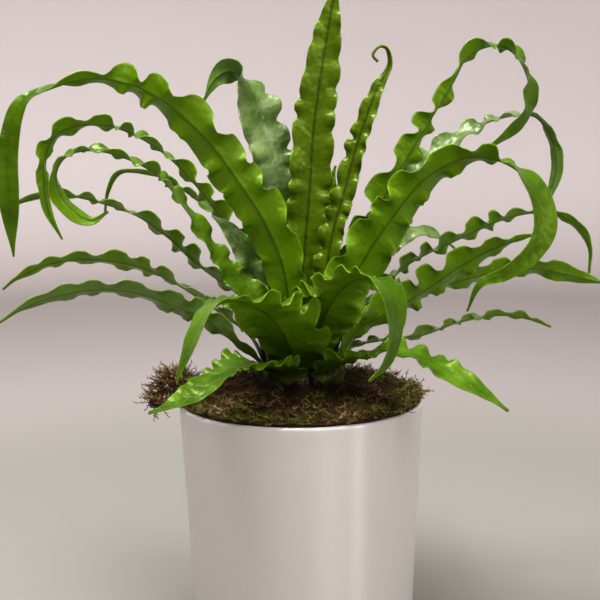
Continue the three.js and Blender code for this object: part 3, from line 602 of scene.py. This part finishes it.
# socket: place on the crown's spiral. facing: compass direction it leans to, degrees from +X towards +Y.
# rib: points that its rib passes through after the stalk. width, ruffle (height of the edge's waves) and
# turn (twist about the rib, in degrees) are values at even steps from foot to tip.
FRONDS = [
    {
        "name": "tall", "socket": 1, "facing": 90, "waves": 16,
        "rib": [
            [1, 8, 198], [2, 10, 228], [6, 13, 268], [9, 15, 308], [13, 17, 338], [18, 19, 368],
            [25, 23, 404],
        ],
        "width": [3, 10, 20, 24, 25, 25, 24, 21, 15, 1],
        "ruffle": [0, 0.3, 1, 1.4, 1.7, 1.7, 1.7, 1.5, 1, 0],
        "turn": [0, 0, 0, 0],
    },
    {
        "name": "great_left", "socket": 4, "facing": 190, "waves": 16,
        "rib": [
            [-6, -9, 201], [-10, -16, 234], [-20, -22, 260], [-34, -29, 283], [-50, -36, 306],
            [-70, -43, 326], [-91, -50, 338], [-113, -55, 341], [-133, -59, 336], [-149, -62, 327],
            [-156, -64, 303], [-157, -63, 273], [-157, -60, 245],
        ],
        "width": [3, 9, 16, 23, 26, 25, 23, 21, 17, 11, 7, 9, 11, 10, 1],
        "ruffle": [0, 0, 1.5, 3, 4.5, 5.5, 6, 6, 4.5, 1.5, 0.3, 0.3, 0.3, 0],
        "turn": [20, 50, 75, 80, 78, 72, 66, 20, -60, -80, -80],
    },
    {
        "name": "fold_back", "socket": 6, "facing": 112, "waves": 14,
        "rib": [
            [-7, 22, 232], [-9, 27, 264], [-15, 29, 294], [-23, 33, 317], [-28, 36, 335], [-34, 39, 347],
            [-42, 41, 352], [-52, 43, 347], [-60, 44, 333],
        ],
        "width": [3, 8, 18, 24, 26, 27, 28, 27, 17, 1],
        "ruffle": [0, 0, 1.5, 2.5, 3, 3, 2.5, 1, 0],
        "turn": [0, 0, 0, 0, 0, 0, 0, 0, 30, 120, 170],
    },
    {
        "name": "curl", "socket": 0, "facing": 30, "waves": 17,
        "rib": [
            [14, -1, 217], [21, 2, 253], [28, 5, 277], [34, 8, 298], [41, 10, 319], [48, 12, 337],
            [56, 14, 351], [55, 14, 361], [50, 13, 363], [46, 12, 358], [49, 12, 354],
        ],
        "width": [3, 8, 14, 15, 14, 13, 12, 10, 4, 1],
        "ruffle": [0, 0, 1.5, 2.5, 2.8, 2.8, 2.4, 1.2, 0, 0],
        "turn": [0, 20, 40, 40, 30, 10],
    },
    {
        "name": "behind_tall", "socket": 11, "facing": 70, "waves": 8,
        "rib": [[11, 22, 215], [16, 31, 245], [20, 38, 267], [22, 44, 284], [24, 47, 292]],
        "width": [3, 8, 14, 18, 17, 11, 1],
        "ruffle": [0, 0, 1.5, 2.5, 2.5, 1, 0],
        "turn": [0, 0, 10],
    },
    {
        "name": "hook_right", "socket": 8, "facing": 15, "waves": 14,
        "rib": [
            [30, 7, 217], [38, 9, 244], [46, 9, 262], [62, 12, 290], [80, 16, 318], [95, 19, 342],
            [102, 20, 355], [112, 21, 362], [123, 23, 364], [133, 24, 360], [140, 25, 351],
            [144, 26, 338], [142, 27, 323], [131, 28, 311], [115, 28, 299],
        ],
        "width": [3, 7, 16, 21, 22, 20, 17, 16, 14, 10, 13, 13, 11, 13, 9, 1],
        "ruffle": [0, 0.3, 3, 4.5, 5, 5, 5, 4, 3.5, 3.5, 3, 2, 0.5, 0],
        "turn": [0, -20, -45, -55, -55, -60, -60, -20, 20, 40, 60],
    },
    {
        "name": "arch_right", "socket": 16, "facing": 25, "waves": 19,
        "rib": [
            [30, 22, 213], [46, 26, 242], [61, 28, 267], [80, 31, 293], [103, 38, 310], [129, 44, 321],
            [152, 48, 322], [164, 49, 306], [167, 48, 289], [162, 46, 271], [156, 44, 259],
        ],
        "width": [3, 7, 16, 21, 21, 18, 15, 13, 11, 9, 8, 1],
        "ruffle": [0, 0, 1, 3.5, 3.5, 3, 2, 0.8, 0.3, 0],
        "turn": [0, 20, 40, 40, 20, 0, -40, -60],
    },
    {
        "name": "great_right", "socket": 5, "facing": -20, "waves": 14,
        "rib": [
            [20, -10, 203], [36, -14, 233], [53, -22, 260], [72, -31, 284], [94, -40, 296],
            [115, -48, 293], [130, -54, 279], [135, -58, 260], [129, -60, 245], [114, -62, 233],
            [99, -63, 227], [92, -63, 212],
        ],
        "width": [3, 10, 22, 28, 28, 25, 21, 17, 16, 16, 15, 11, 6, 1],
        "ruffle": [0, 0, 2.5, 4, 4.5, 4.5, 3, 0.5, 0.2, 0.2, 0],
        "turn": [0, -20, -50, -60, -60, -40, 0, 40, 60, 70],
    },
    {
        "name": "right_up", "socket": 29, "facing": 20, "waves": 15,
        "rib": [
            [35, 19, 197], [50, 23, 212], [65, 27, 227], [82, 34, 236], [100, 41, 243], [121, 47, 252],
            [141, 53, 258], [158, 56, 260], [173, 57, 257], [186, 58, 248], [192, 57, 235],
            [192, 56, 219],
        ],
        "width": [3, 7, 15, 18, 18, 17, 15, 12, 8, 7, 1],
        "ruffle": [0, 0, 2.5, 3.5, 3.5, 3.5, 2.5, 1, 0.3, 0],
        "turn": [0, -20, -35, -35, -20],
    },
    {
        "name": "right_back", "socket": 24, "facing": 42, "waves": 8,
        "rib": [
            [23, 31, 207], [39, 43, 226], [56, 50, 238], [70, 60, 246], [84, 68, 247], [97, 74, 242],
            [107, 78, 234],
        ],
        "width": [3, 7, 15, 18, 18, 14, 9, 1],
        "ruffle": [0, 0, 2, 3, 3, 1.5, 0],
        "turn": [0, 25, 35],
    },
    {
        "name": "right_mid", "socket": 13, "facing": -8, "waves": 9,
        "rib": [
            [33, -7, 192], [50, -12, 203], [68, -10, 213], [83, -11, 223], [97, -14, 233],
            [111, -17, 241], [125, -19, 247], [141, -22, 252],
        ],
        "width": [3, 7, 16, 23, 25, 22, 17, 10, 1],
        "ruffle": [0, 0, 2, 3.5, 4, 3.5, 1.5, 0],
        "turn": [0, -30, -50, -50, -40],
    },
    {
        "name": "right_out", "socket": 21, "facing": 10, "waves": 10,
        "rib": [
            [37, 8, 191], [62, 13, 205], [94, 18, 218], [123, 22, 224], [149, 26, 226], [172, 30, 221],
            [196, 33, 215],
        ],
        "width": [3, 6, 13, 18, 18, 18, 17, 15, 12, 1],
        "ruffle": [0, 0, 2, 2.5, 2.5, 2.5, 2, 1.5, 0],
        "turn": [0, -20, -30, -55, -60],
    },
    {
        "name": "right_low", "socket": 42, "facing": 20, "waves": 10,
        "rib": [
            [31, 14, 178], [52, 23, 182], [77, 32, 183], [104, 42, 190], [132, 50, 193], [153, 56, 189],
            [168, 60, 183],
        ],
        "width": [3, 7, 13, 16, 15, 12, 9, 1],
        "ruffle": [0, 0.5, 2, 2.5, 2.5, 1.5, 0],
        "turn": [0, -10, -15],
    },
    {
        "name": "front_right_low", "socket": 31, "facing": -48, "waves": 12,
        "rib": [
            [17, -22, 172], [32, -40, 183], [47, -56, 190], [65, -72, 188], [82, -86, 181],
            [96, -97, 173], [107, -105, 166],
        ],
        "width": [12, 25, 30, 27, 22, 18, 12, 1],
        "ruffle": [0, 1, 3, 3, 2, 1, 0.3, 0],
        "turn": [0, 0, 10, 20],
    },
    {
        "name": "front_right", "socket": 10, "facing": -80, "waves": 15,
        "rib": [
            [8, -17, 182], [13, -31, 203], [21, -50, 221], [31, -74, 232], [42, -90, 233],
            [48, -100, 223], [48, -104, 206], [44, -105, 192], [35, -104, 182],
        ],
        "width": [5, 17, 35, 42, 34, 23, 19, 16, 10, 1],
        "ruffle": [0, 0.3, 3.5, 5, 4.5, 1.5, 0.2, 0.2, 0],
        "turn": [0, 0, 0, 0, 0],
    },
    {
        "name": "front_left", "socket": 7, "facing": -103, "waves": 11,
        "rib": [
            [-5, -24, 182], [-12, -41, 201], [-23, -60, 215], [-36, -80, 222], [-47, -96, 220],
            [-53, -106, 210], [-57, -112, 200], [-63, -116, 186],
        ],
        "width": [8, 25, 44, 48, 38, 25, 19, 16, 10, 1],
        "ruffle": [0, 1.5, 4, 5.5, 5.5, 1.5, 0.2, 0.2, 0],
        "turn": [0, 0, 0, 0, 0],
    },
    {
        "name": "front_left_low", "socket": 28, "facing": -122, "waves": 12,
        "rib": [
            [-11, -24, 171], [-22, -40, 179], [-34, -56, 183], [-47, -72, 178], [-59, -86, 172],
            [-71, -98, 168], [-79, -104, 167],
        ],
        "width": [14, 29, 32, 28, 22, 18, 12, 1],
        "ruffle": [0, 1.5, 3, 3, 1.5, 0.5, 0.2, 0],
        "turn": [0, 0, -10, -20],
    },
    {
        "name": "left_low", "socket": 33, "facing": 195, "waves": 10,
        "rib": [
            [-24, -10, 174], [-38, -12, 186], [-54, -16, 201], [-77, -22, 213], [-99, -28, 221],
            [-121, -33, 223], [-144, -37, 219], [-160, -40, 213], [-172, -42, 206],
        ],
        "width": [3, 8, 16, 18, 18, 16, 13, 9, 1],
        "ruffle": [0, 0.5, 2, 2, 1.5, 1.2, 0.6, 0],
        "turn": [0, 25, 35, 35, 30],
    },
    {
        "name": "left_mid", "socket": 17, "facing": 167, "waves": 11,
        "rib": [
            [-30, 6, 187], [-48, 12, 201], [-65, 19, 212], [-85, 26, 223], [-108, 32, 231],
            [-135, 38, 234], [-162, 43, 231], [-185, 47, 221], [-195, 49, 214],
        ],
        "width": [3, 7, 14, 16, 17, 16, 13, 8, 1],
        "ruffle": [0, 0.3, 2, 2, 2, 1.5, 1, 0],
        "turn": [0, 20, 30, 35, 30],
    },
    {
        "name": "left_up", "socket": 30, "facing": 155, "waves": 12,
        "rib": [
            [-27, 18, 201], [-40, 26, 213], [-54, 33, 222], [-68, 40, 232], [-80, 45, 243],
            [-92, 50, 252], [-106, 55, 261], [-125, 60, 268], [-151, 65, 274], [-176, 68, 273],
            [-200, 70, 264],
        ],
        "width": [3, 7, 16, 19, 18, 16, 14, 12, 10, 1],
        "ruffle": [0, 0, 2.5, 3, 3, 2.5, 2, 0.5, 0],
        "turn": [0, 20, 40, 30, 20, 20],
    },
    {
        "name": "left_wisp", "socket": 22, "facing": 148, "waves": 10,
        "rib": [
            [-28, 32, 231], [-46, 43, 254], [-64, 46, 270], [-86, 58, 284], [-106, 68, 289],
            [-121, 75, 288], [-129, 79, 276], [-132, 80, 262],
        ],
        "width": [3, 5, 11, 14, 14, 10, 7, 6, 1],
        "ruffle": [0, 0, 2, 2.5, 2.5, 1, 0, 0],
        "turn": [0, 20, 30, 20],
    },
    {
        "name": "hook_left", "socket": 9, "facing": 170, "waves": 16,
        "rib": [
            [-19, 11, 220], [-32, 13, 242], [-48, 14, 262], [-63, 17, 281], [-79, 20, 298],
            [-96, 23, 310], [-115, 25, 318], [-133, 26, 319], [-148, 27, 315], [-158, 27, 302],
            [-160, 26, 283], [-157, 25, 265], [-149, 24, 248],
        ],
        "width": [3, 6, 13, 18, 19, 16, 13, 11, 12, 12, 13, 11, 8, 6, 1],
        "ruffle": [0, 0, 2, 3, 3.5, 3, 3, 3, 3, 2.5, 2, 0.5, 0],
        "turn": [0, 20, 45, 50, 40, 20, 20, 30, 50, 60],
    },
    {
        "name": "arch_left", "socket": 25, "facing": 187, "waves": 15,
        "rib": [
            [-25, -8, 209], [-41, -10, 228], [-54, -11, 248], [-66, -13, 267], [-80, -15, 286],
            [-97, -17, 297], [-117, -18, 303], [-133, -19, 301], [-141, -19, 292], [-141, -19, 279],
            [-133, -19, 268], [-122, -18, 262], [-112, -17, 267],
        ],
        "width": [3, 7, 14, 16, 17, 15, 14, 12, 10, 7, 8, 13, 12, 1],
        "ruffle": [0, 0, 1.5, 2, 2, 2.5, 3, 2.5, 1, 0.3, 0],
        "turn": [0, -20, -45, -45, -20, 0, 0, 0, 20, 45],
    },
    {
        "name": "short_left", "socket": 38, "facing": 175, "waves": 7,
        "rib": [[-24, 0, 203], [-27, 5, 222], [-34, 3, 242], [-43, 2, 255], [-53, 3, 263]],
        "width": [3, 4, 6, 9, 15, 13, 1],
        "ruffle": [0, 0, 0.8, 1.5, 3, 1.5, 0],
        "turn": [0, -50, -60, -60],
    },
    {
        "name": "back_high", "socket": 19, "facing": 92, "waves": 11,
        "rib": [[3, 34, 202], [4, 54, 238], [3, 84, 262], [0, 116, 266], [-4, 146, 240], [-6, 162, 212]],
        "width": [3, 8, 18, 24, 24, 20, 15, 10, 1],
        "ruffle": [0, 0, 2.5, 4, 4, 2.5, 1, 0],
        "turn": [0, 0, 0],
    },
    {
        "name": "back_left_mid", "socket": 27, "facing": 102, "waves": 10,
        "rib": [
            [-5, 38, 189], [-10, 62, 214], [-18, 94, 234], [-28, 128, 234], [-36, 154, 208],
            [-40, 166, 188],
        ],
        "width": [3, 8, 17, 22, 22, 18, 14, 9, 1],
        "ruffle": [0, 0, 2.5, 4, 4, 2.5, 1, 0],
        "turn": [0, 0, 0],
    },
    {
        "name": "back_right_low", "socket": 32, "facing": 78, "waves": 9,
        "rib": [[10, 32, 184], [17, 60, 204], [24, 100, 214], [34, 140, 204], [42, 172, 184]],
        "width": [3, 8, 17, 21, 20, 14, 1],
        "ruffle": [0, 0.3, 2.5, 3.5, 3, 1.5, 0],
        "turn": [0, 0, 0],
    },
    {
        "name": "back_left_low", "socket": 35, "facing": 122, "waves": 8,
        "rib": [[-16, 32, 182], [-34, 58, 196], [-52, 88, 200], [-64, 112, 194], [-72, 130, 184]],
        "width": [3, 8, 16, 20, 18, 12, 1],
        "ruffle": [0, 0.3, 2.5, 3.5, 3, 1.5, 0],
        "turn": [0, 0, 0],
    },
    {
        "name": "back_right_mid", "socket": 37, "facing": 52, "waves": 8,
        "rib": [[24, 28, 188], [38, 52, 208], [54, 80, 214], [66, 106, 206], [74, 126, 192]],
        "width": [3, 8, 16, 20, 18, 12, 1],
        "ruffle": [0, 0.3, 2.5, 3.5, 3, 1.5, 0],
        "turn": [0, 0, 0],
    },
]
YOUNG = ("tall", "curl")  # the newest fronds are more yellow and let more light through
SHEEN_PAINTED = ("fold_back", "arch_right", "short_left", "right_back", "left_low")  # paler and greyer, as painted sheen, with a whiter shine
HALF_COLUMNS = (0.07, 0.17, 0.3, 0.45, 0.6, 0.73, 0.85, 0.94, 1)  # shares of the way from rib to edge
COLUMNS = (*(-share for share in reversed(HALF_COLUMNS)), 0, *HALF_COLUMNS)


def along(values, u):
    """A smooth value at share u of the way along evenly spaced values."""
    last = len(values) - 1
    i = min(int(u * last), last - 1)
    t = u * last - i
    a, b, c, d = (values[min(max(i + k, 0), last)] for k in (-1, 0, 1, 2))
    return b + 0.5 * t * (c - a + t * (2 * a - 5 * b + 4 * c - d + t * (3 * (b - c) + d - a)))


def rib_point(points, t):
    """The place at t on a smooth curve through points."""
    last = len(points) - 1
    i = min(int(t * last), last - 1)
    w = t * last - i
    start, end = points[i], points[i + 1]
    before = points[i - 1] if i > 0 else 2 * start - end
    after = points[i + 2] if i + 2 <= last else 2 * end - start
    leaving, arriving = (end - before) / 2, (after - start) / 2
    square = 3 * (end - start) - 2 * leaving - arriving
    cube = 2 * (start - end) + leaving + arriving
    return start + w * (leaving + w * (square + w * cube))


def rib_frames(frond, steps):
    """The rib's places from foot to tip, and the length of one wave.

    Each place has its share of the way, the waves' phase, the run so far in millimetres, and the directions
    along the rib, across the blade and up from its upper face.
    """
    radius = SOCKET_SPACING * math.sqrt(frond["socket"] + 0.5)
    angle = math.radians(GOLDEN_ANGLE * frond["socket"])
    foot = around(radius, angle, crown_height(radius) - SOCKET_DEPTH)
    first = Vector(frond["rib"][0])
    neck = foot + (first - foot).normalized() * STALK_LENGTH
    points = [foot, neck, *(Vector(point) for point in frond["rib"])]
    samples = [rib_point(points, i / RIB_SAMPLES) for i in range(RIB_SAMPLES + 1)]
    runs = [0.0]
    for a, b in zip(samples, samples[1:]):
        runs.append(runs[-1] + (b - a).length)
    facing = math.radians(frond["facing"])
    across = Vector((-math.sin(facing), math.cos(facing), 0))
    frames = []
    i = 0
    for step in range(steps + 1):
        # The waves are unevenly long.
        share = step / steps
        phase = 2 * math.pi * frond["waves"] * step / steps
        uneven = math.sin(phase / DRIFT_PERIOD + frond["socket"]) * math.sin(math.pi * share)
        u = min(max(share + WAVE_DRIFT / frond["waves"] * uneven, 0), 1)
        run = u * runs[-1]
        while i < RIB_SAMPLES - 1 and runs[i + 1] < run:
            i += 1
        t = (i + (run - runs[i]) / (runs[i + 1] - runs[i])) / RIB_SAMPLES
        ahead = rib_point(points, min(t + RIB_NUDGE, 1))
        tangent = (ahead - rib_point(points, max(t - RIB_NUDGE, 0))).normalized()
        across = (across - tangent * across.dot(tangent)).normalized()
        turn = along(frond["turn"], u) + BLADE_SWAY * math.sin(phase / SWAY_PERIOD + frond["socket"])
        side = Matrix.Rotation(math.radians(turn), 3, tangent) @ across
        frames.append((u, phase, run, rib_point(points, t), tangent, side, tangent.cross(side)))
    return frames, runs[-1] / frond["waves"]


def frond_shape(frond):
    """The blade as one thin closed shell. Its points hold (run, reach, face) for the leaf's pattern."""
    shape = bmesh.new()
    blade_layer = shape.verts.layers.float_vector.new("blade")
    edge_layer = shape.verts.layers.float.new("edge")
    frames, wave_length = rib_frames(frond, 4 * frond["waves"] * SUBSTEPS)
    ring = [(across, 1) for across in COLUMNS] + [(across, -1) for across in reversed(COLUMNS)]
    ring.append(ring[0])
    bmesh.ops.create_grid(shape, x_segments=len(frames) - 1, y_segments=len(ring) - 1, size=0.5)
    for vert in shape.verts:
        u, phase, run, place, tangent, side, up = frames[round((vert.co.x + 0.5) * (len(frames) - 1))]
        across, face = ring[round((vert.co.y + 0.5) * (len(ring) - 1))]
        edge = -1 if across < 0 else 1
        off = abs(across)
        blade = smoothstep(run, BLADE_START, BLADE_FULL)
        half = lerp(STALK_WIDTH, along(frond["width"], u), blade) / 2
        wave = along(frond["ruffle"], u) * blade
        swing = edge * math.copysign(abs(math.cos(phase)) ** CREST_ROUNDING, math.cos(phase))
        swell = 1 + WAVE_SWELL * math.sin(phase / SWELL_PERIOD + 2 * edge + frond["socket"])
        fullness = min(1, wave / FULL_WAVE)
        lobe = 2 * math.sqrt((1 + swing) / 2) - 1
        reach = across * half * (1 + EDGE_SCALLOP * fullness * swell * lobe * off)
        # A wave fades from the edge towards the rib within about half its length.
        fading = off * math.exp(-(1 - off) * half / (WAVE_DEPTH * wave_length))
        crimp = EDGE_CRIMP * math.sin(CRIMP_RATE * phase + 2 * edge) * off**4
        lift = BLADE_CUP * half * off + wave * (swell * swing * fading + crimp)
        # Crests spread along the edge, and a steep wave curls into loops.
        steepness = 2 * math.pi * wave / wave_length
        loop = min(MOST_LOOP, LOOP * steepness) / 2
        spread = edge * CREST_SPREAD * fullness * math.sin(phase) + loop * math.sin(2 * phase)
        slide = spread * wave_length / (2 * math.pi) * fading
        ridge_height = RIDGE_ABOVE if face > 0 else RIDGE_BELOW
        ridge = math.exp(-((reach / RIDGE_WIDTH) ** 2)) * blade * ridge_height
        thickness = lerp(STALK_THICKNESS, BLADE_THICKNESS, blade) / 2 + ridge
        vert.co = (place + side * reach + up * (lift + face * thickness) + tangent * slide) * MM
        vert[blade_layer] = (run, reach, face)
        vert[edge_layer] = off
    bmesh.ops.remove_doubles(shape, verts=shape.verts, dist=BLADE_MERGE_DISTANCE)
    bmesh.ops.holes_fill(shape, edges=[edge for edge in shape.edges if edge.is_boundary], sides=0)
    bmesh.ops.recalc_face_normals(shape, faces=shape.faces)
    return shape


# The pattern that all leaves share: fine slanting side veins, a dark rib, a paler edge, a duller underside
# and a dark foot (partly the stalk's own colour, partly painted shade round the crown), laid out by the
# blade's own run and reach in millimetres.
VEIN_SLANT = 0.55
VEIN_SPACING = 1.6
VEIN_WANDER = 3
FOOT_FADE = (12, 58)  # how far along the blade its dark foot, partly painted shade, fades
RIB_FADE = (0.4, 1.2)  # how far out the dark rib fades
STALK_DARK_AND_SHADE = (0.012, 0.012, 0.004)

leaf_pattern = bpy.data.node_groups.new("leaf_pattern", "ShaderNodeTree")
for name in ("Deep", "Fresh", "Edge", "Underside", "Rib"):
    leaf_pattern.interface.new_socket(name, in_out="INPUT", socket_type="NodeSocketColor")
leaf_pattern.interface.new_socket("Upper Rib", in_out="INPUT", socket_type="NodeSocketFloat")
leaf_pattern.interface.new_socket("Color", in_out="OUTPUT", socket_type="NodeSocketColor")
for name in ("Roughness", "Height"):
    leaf_pattern.interface.new_socket(name, in_out="OUTPUT", socket_type="NodeSocketFloat")
tree = leaf_pattern
given = tree.nodes.new("NodeGroupInput").outputs
result = tree.nodes.new("NodeGroupOutput")
blade_place = add(tree, "ShaderNodeAttribute", attribute_name="blade").outputs["Vector"]
blade_parts = add(tree, "ShaderNodeSeparateXYZ", {0: blade_place}).outputs
run = blade_parts["X"]
reach = maths(tree, "ABSOLUTE", blade_parts["Y"])
edge_share = add(tree, "ShaderNodeAttribute", attribute_name="edge").outputs["Fac"]
place = add(tree, "ShaderNodeTexCoord").outputs["Object"]
mottle = mottled(tree, place, scale=55, detail=3)
pores = mottled(tree, place, scale=900, detail=2)
quilting = mottled(tree, place, scale=170, detail=1)
slanted = maths(tree, "SUBTRACT", run, maths(tree, "MULTIPLY", reach, VEIN_SLANT))
wander = maths(tree, "ADD", slanted, maths(tree, "MULTIPLY", mottle, VEIN_WANDER))
vein = maths(tree, "SINE", maths(tree, "MULTIPLY", wander, 2 * math.pi / VEIN_SPACING))
vein = fade(tree, vein, 0.2, 1.0)
upper = blend(tree, fade(tree, mottle, 0.35, 0.7), given["Deep"], given["Fresh"])
upper = blend(tree, maths(tree, "MULTIPLY", vein, 0.07), upper, given["Fresh"])
shaded = blend(tree, fade(tree, mottle, 0.35, 0.7, to_value=0.35), given["Underside"], given["Deep"])
underneath = fade(tree, blade_parts["Z"], -0.2, 0.2, from_value=1, to_value=0)
colour = blend(tree, underneath, upper, shaded)
colour = blend(tree, fade(tree, edge_share, 0.9, 1.0, to_value=0.35), colour, given["Edge"])
rib_strength = add(tree, "ShaderNodeMix", {0: underneath, 2: given["Upper Rib"], 3: 0.6}).outputs[0]
on_rib = fade(tree, reach, *RIB_FADE, from_value=1, to_value=0)
colour = blend(tree, maths(tree, "MULTIPLY", on_rib, rib_strength), colour, given["Rib"])
# The foot darkens towards the stalk's colour: partly its own dark colour, partly painted shade under the
# crowded fronds.
foot_dark_and_shade = fade(tree, run, *FOOT_FADE, from_value=0.9, to_value=0)
dullness = maths(tree, "MULTIPLY", underneath, 0.08)
gloss = fade(tree, mottle, 0.3, 0.7, from_value=0.26, to_value=0.38)
fine = maths(tree, "ADD", maths(tree, "MULTIPLY", pores, 0.03), maths(tree, "MULTIPLY", vein, 0.018))
feed(tree, result, {
    "Color": blend(tree, foot_dark_and_shade, colour, STALK_DARK_AND_SHADE),
    "Roughness": maths(tree, "ADD", gloss, dullness),
    "Height": maths(tree, "ADD", fine, quilting),
})


def leaf_material(name, through, upper_rib, shine, **colours):
    """A leaf's surface in its own colours. through is how much light passes into the blade."""
    material, tree, shader = new_material(name)
    pattern = tree.nodes.new("ShaderNodeGroup")
    pattern.node_tree = leaf_pattern
    for part, colour in colours.items():
        pattern.inputs[part].default_value = (*colour, 1)
    pattern.inputs["Upper Rib"].default_value = upper_rib
    feed(tree, shader, {
        "Base Color": pattern.outputs["Color"],
        "Roughness": pattern.outputs["Roughness"],
        "Normal": bumped(tree, pattern.outputs["Height"], distance=0.0011),
        "Subsurface Weight": through,
        "Subsurface Radius": (0.8, 1.0, 0.3),
        "Subsurface Scale": 0.0008,
        "Specular IOR Level": 0.45,
        "Specular Tint": (*shine, 1),
    })
    return material


old_leaf = leaf_material(
    "old_leaf",
    through=0.25,
    upper_rib=0.2,
    shine=(0.75, 1.0, 0.16),
    Deep=(0.034, 0.088, 0.001),
    Fresh=(0.075, 0.16, 0.002),
    Edge=(0.17, 0.3, 0.008),
    Underside=(0.092, 0.2, 0.001),
    Rib=(0.015, 0.035, 0.001),
)
young_leaf = leaf_material(
    "young_leaf",
    through=0.35,
    upper_rib=0.9,
    shine=(0.75, 1.0, 0.16),
    Deep=(0.055, 0.1, 0.001),
    Fresh=(0.078, 0.138, 0.002),
    Edge=(0.17, 0.27, 0.008),
    Underside=(0.105, 0.17, 0.001),
    Rib=(0.02, 0.036, 0.001),
)
# Fronds that catch a whitish sheen get paler, greyer colours: painted sheen, on top of their whiter real
# shine.
sheen_painted_leaf = leaf_material(
    "sheen_painted_leaf",
    through=0.25,
    upper_rib=0.2,
    shine=(1.0, 1.0, 0.75),
    Deep=(0.05, 0.105, 0.008),
    Fresh=(0.18, 0.265, 0.08),
    Edge=(0.2, 0.3, 0.05),
    Underside=(0.085, 0.18, 0.01),
    Rib=(0.015, 0.035, 0.001),
)
for frond in FRONDS:
    name = frond["name"]
    surface = young_leaf if name in YOUNG else sheen_painted_leaf if name in SHEEN_PAINTED else old_leaf
    make_piece(f"{name}_frond", frond_shape(frond), surface, f"frond_{name}")

# ---- Floor, lights and camera ----------------------------------------------------------------------------
# The plant stands on a plain pale floor that curves up all round into a pale backdrop. One broad, soft
# lamp lights it all, and three smaller ones shine on the glaze and the leaves.
FLOOR_RADIUS = 1800
CURVE_RADIUS = 900
BACKDROP_TOP = 2600
FLOOR_STEPS = 96
NEAR_FLOOR = (0.25, 0.24, 0.21)
FAR_FLOOR = (0.34, 0.30, 0.285)
BACKDROP = (0.72, 0.65, 0.64)
DAYLIGHT = (1.0, 0.97, 0.94)
AIM = Vector((0, 0, 0.2))  # the middle of the plant, in metres
CAMERA_PLACE = (0, -0.633, 0.296)  # metres
CAMERA_TILT = 7.65  # degrees below level
CAMERA_ROLL = 0.7  # degrees
FOCAL_LENGTH = 1046  # pixels
HALF_FRAME = 300  # pixels

floor_paint, tree, shader = new_material("floor_paint")
place = add(tree, "ShaderNodeTexCoord").outputs["Object"]
away = add(tree, "ShaderNodeVectorMath", {0: place}, operation="LENGTH").outputs["Value"]
floor_tone = blend(tree, fade(tree, away, 0.4, 0.8), NEAR_FLOOR, FAR_FLOOR)
feed(tree, shader, {
    "Base Color": blend(tree, fade(tree, away, 1.6, 2.5), floor_tone, BACKDROP),
    "Roughness": 0.8,
})
floor_outline = [
    (0, 0),
    (FLOOR_RADIUS, 0),
    *arc(FLOOR_RADIUS, CURVE_RADIUS, CURVE_RADIUS, -90, 0, count=13),
    (FLOOR_RADIUS + CURVE_RADIUS, BACKDROP_TOP),
]
bowl = spun(floor_outline, FLOOR_STEPS)
for face in bowl.faces:
    face.normal_flip()
floor_mesh = bpy.data.meshes.new("floor")
bowl.to_mesh(floor_mesh)
bowl.free()
floor_mesh.shade_smooth()
floor_mesh.materials.append(floor_paint)
floor = bpy.data.objects.new("floor", floor_mesh)
bpy.context.scene.collection.objects.link(floor)

world = bpy.data.worlds.new("studio")
bpy.context.scene.world = world
world.use_nodes = True
background = world.node_tree.nodes["Background"]
feed(world.node_tree, background, {"Color": (*DAYLIGHT, 1), "Strength": 0.16})
bpy.context.scene.view_settings.view_transform = "Standard"


def aimed(name, lamp, place):
    """Puts a lamp at place, in metres, aimed at the middle of the plant."""
    light = bpy.data.objects.new(name, lamp)
    aim = AIM - Vector(place)
    light.matrix_world = Matrix.Translation(place) @ aim.to_track_quat("-Z", "Y").to_matrix().to_4x4()
    bpy.context.scene.collection.objects.link(light)
    return light


def soft_light(name, place, size, power):
    """A soft lamp of size in metres, whose shine shows on the glaze and on the glossy leaves."""
    lamp = bpy.data.lights.new(name, "AREA")
    lamp.shape = "RECTANGLE"
    lamp.size, lamp.size_y = size
    lamp.energy = power
    aimed(name, lamp, place).visible_camera = False


room_light = bpy.data.lights.new("room_light", "SUN")
room_light.energy = 1.5
room_light.angle = math.radians(70)
aimed("room_light", room_light, (0.5, -1.0, 1.5))
soft_light("front", (0.8, -1.5, 1.4), (0.8, 0.6), power=16)
soft_light("top", (-0.3, 0.0, 1.5), (0.9, 0.5), power=36)
soft_light("side", (1.4, -1.1, 0.5), (0.1, 0.6), power=5)

lens = bpy.data.cameras.new("camera")
lens.sensor_fit = "HORIZONTAL"
lens.angle = 2 * math.atan(HALF_FRAME / FOCAL_LENGTH)
camera = bpy.data.objects.new("camera", lens)
tilted = Matrix.Translation(CAMERA_PLACE) @ Matrix.Rotation(math.radians(90 - CAMERA_TILT), 4, "X")
camera.matrix_world = tilted @ Matrix.Rotation(math.radians(-CAMERA_ROLL), 4, "Z")
bpy.context.scene.collection.objects.link(camera)
bpy.context.scene.camera = camera
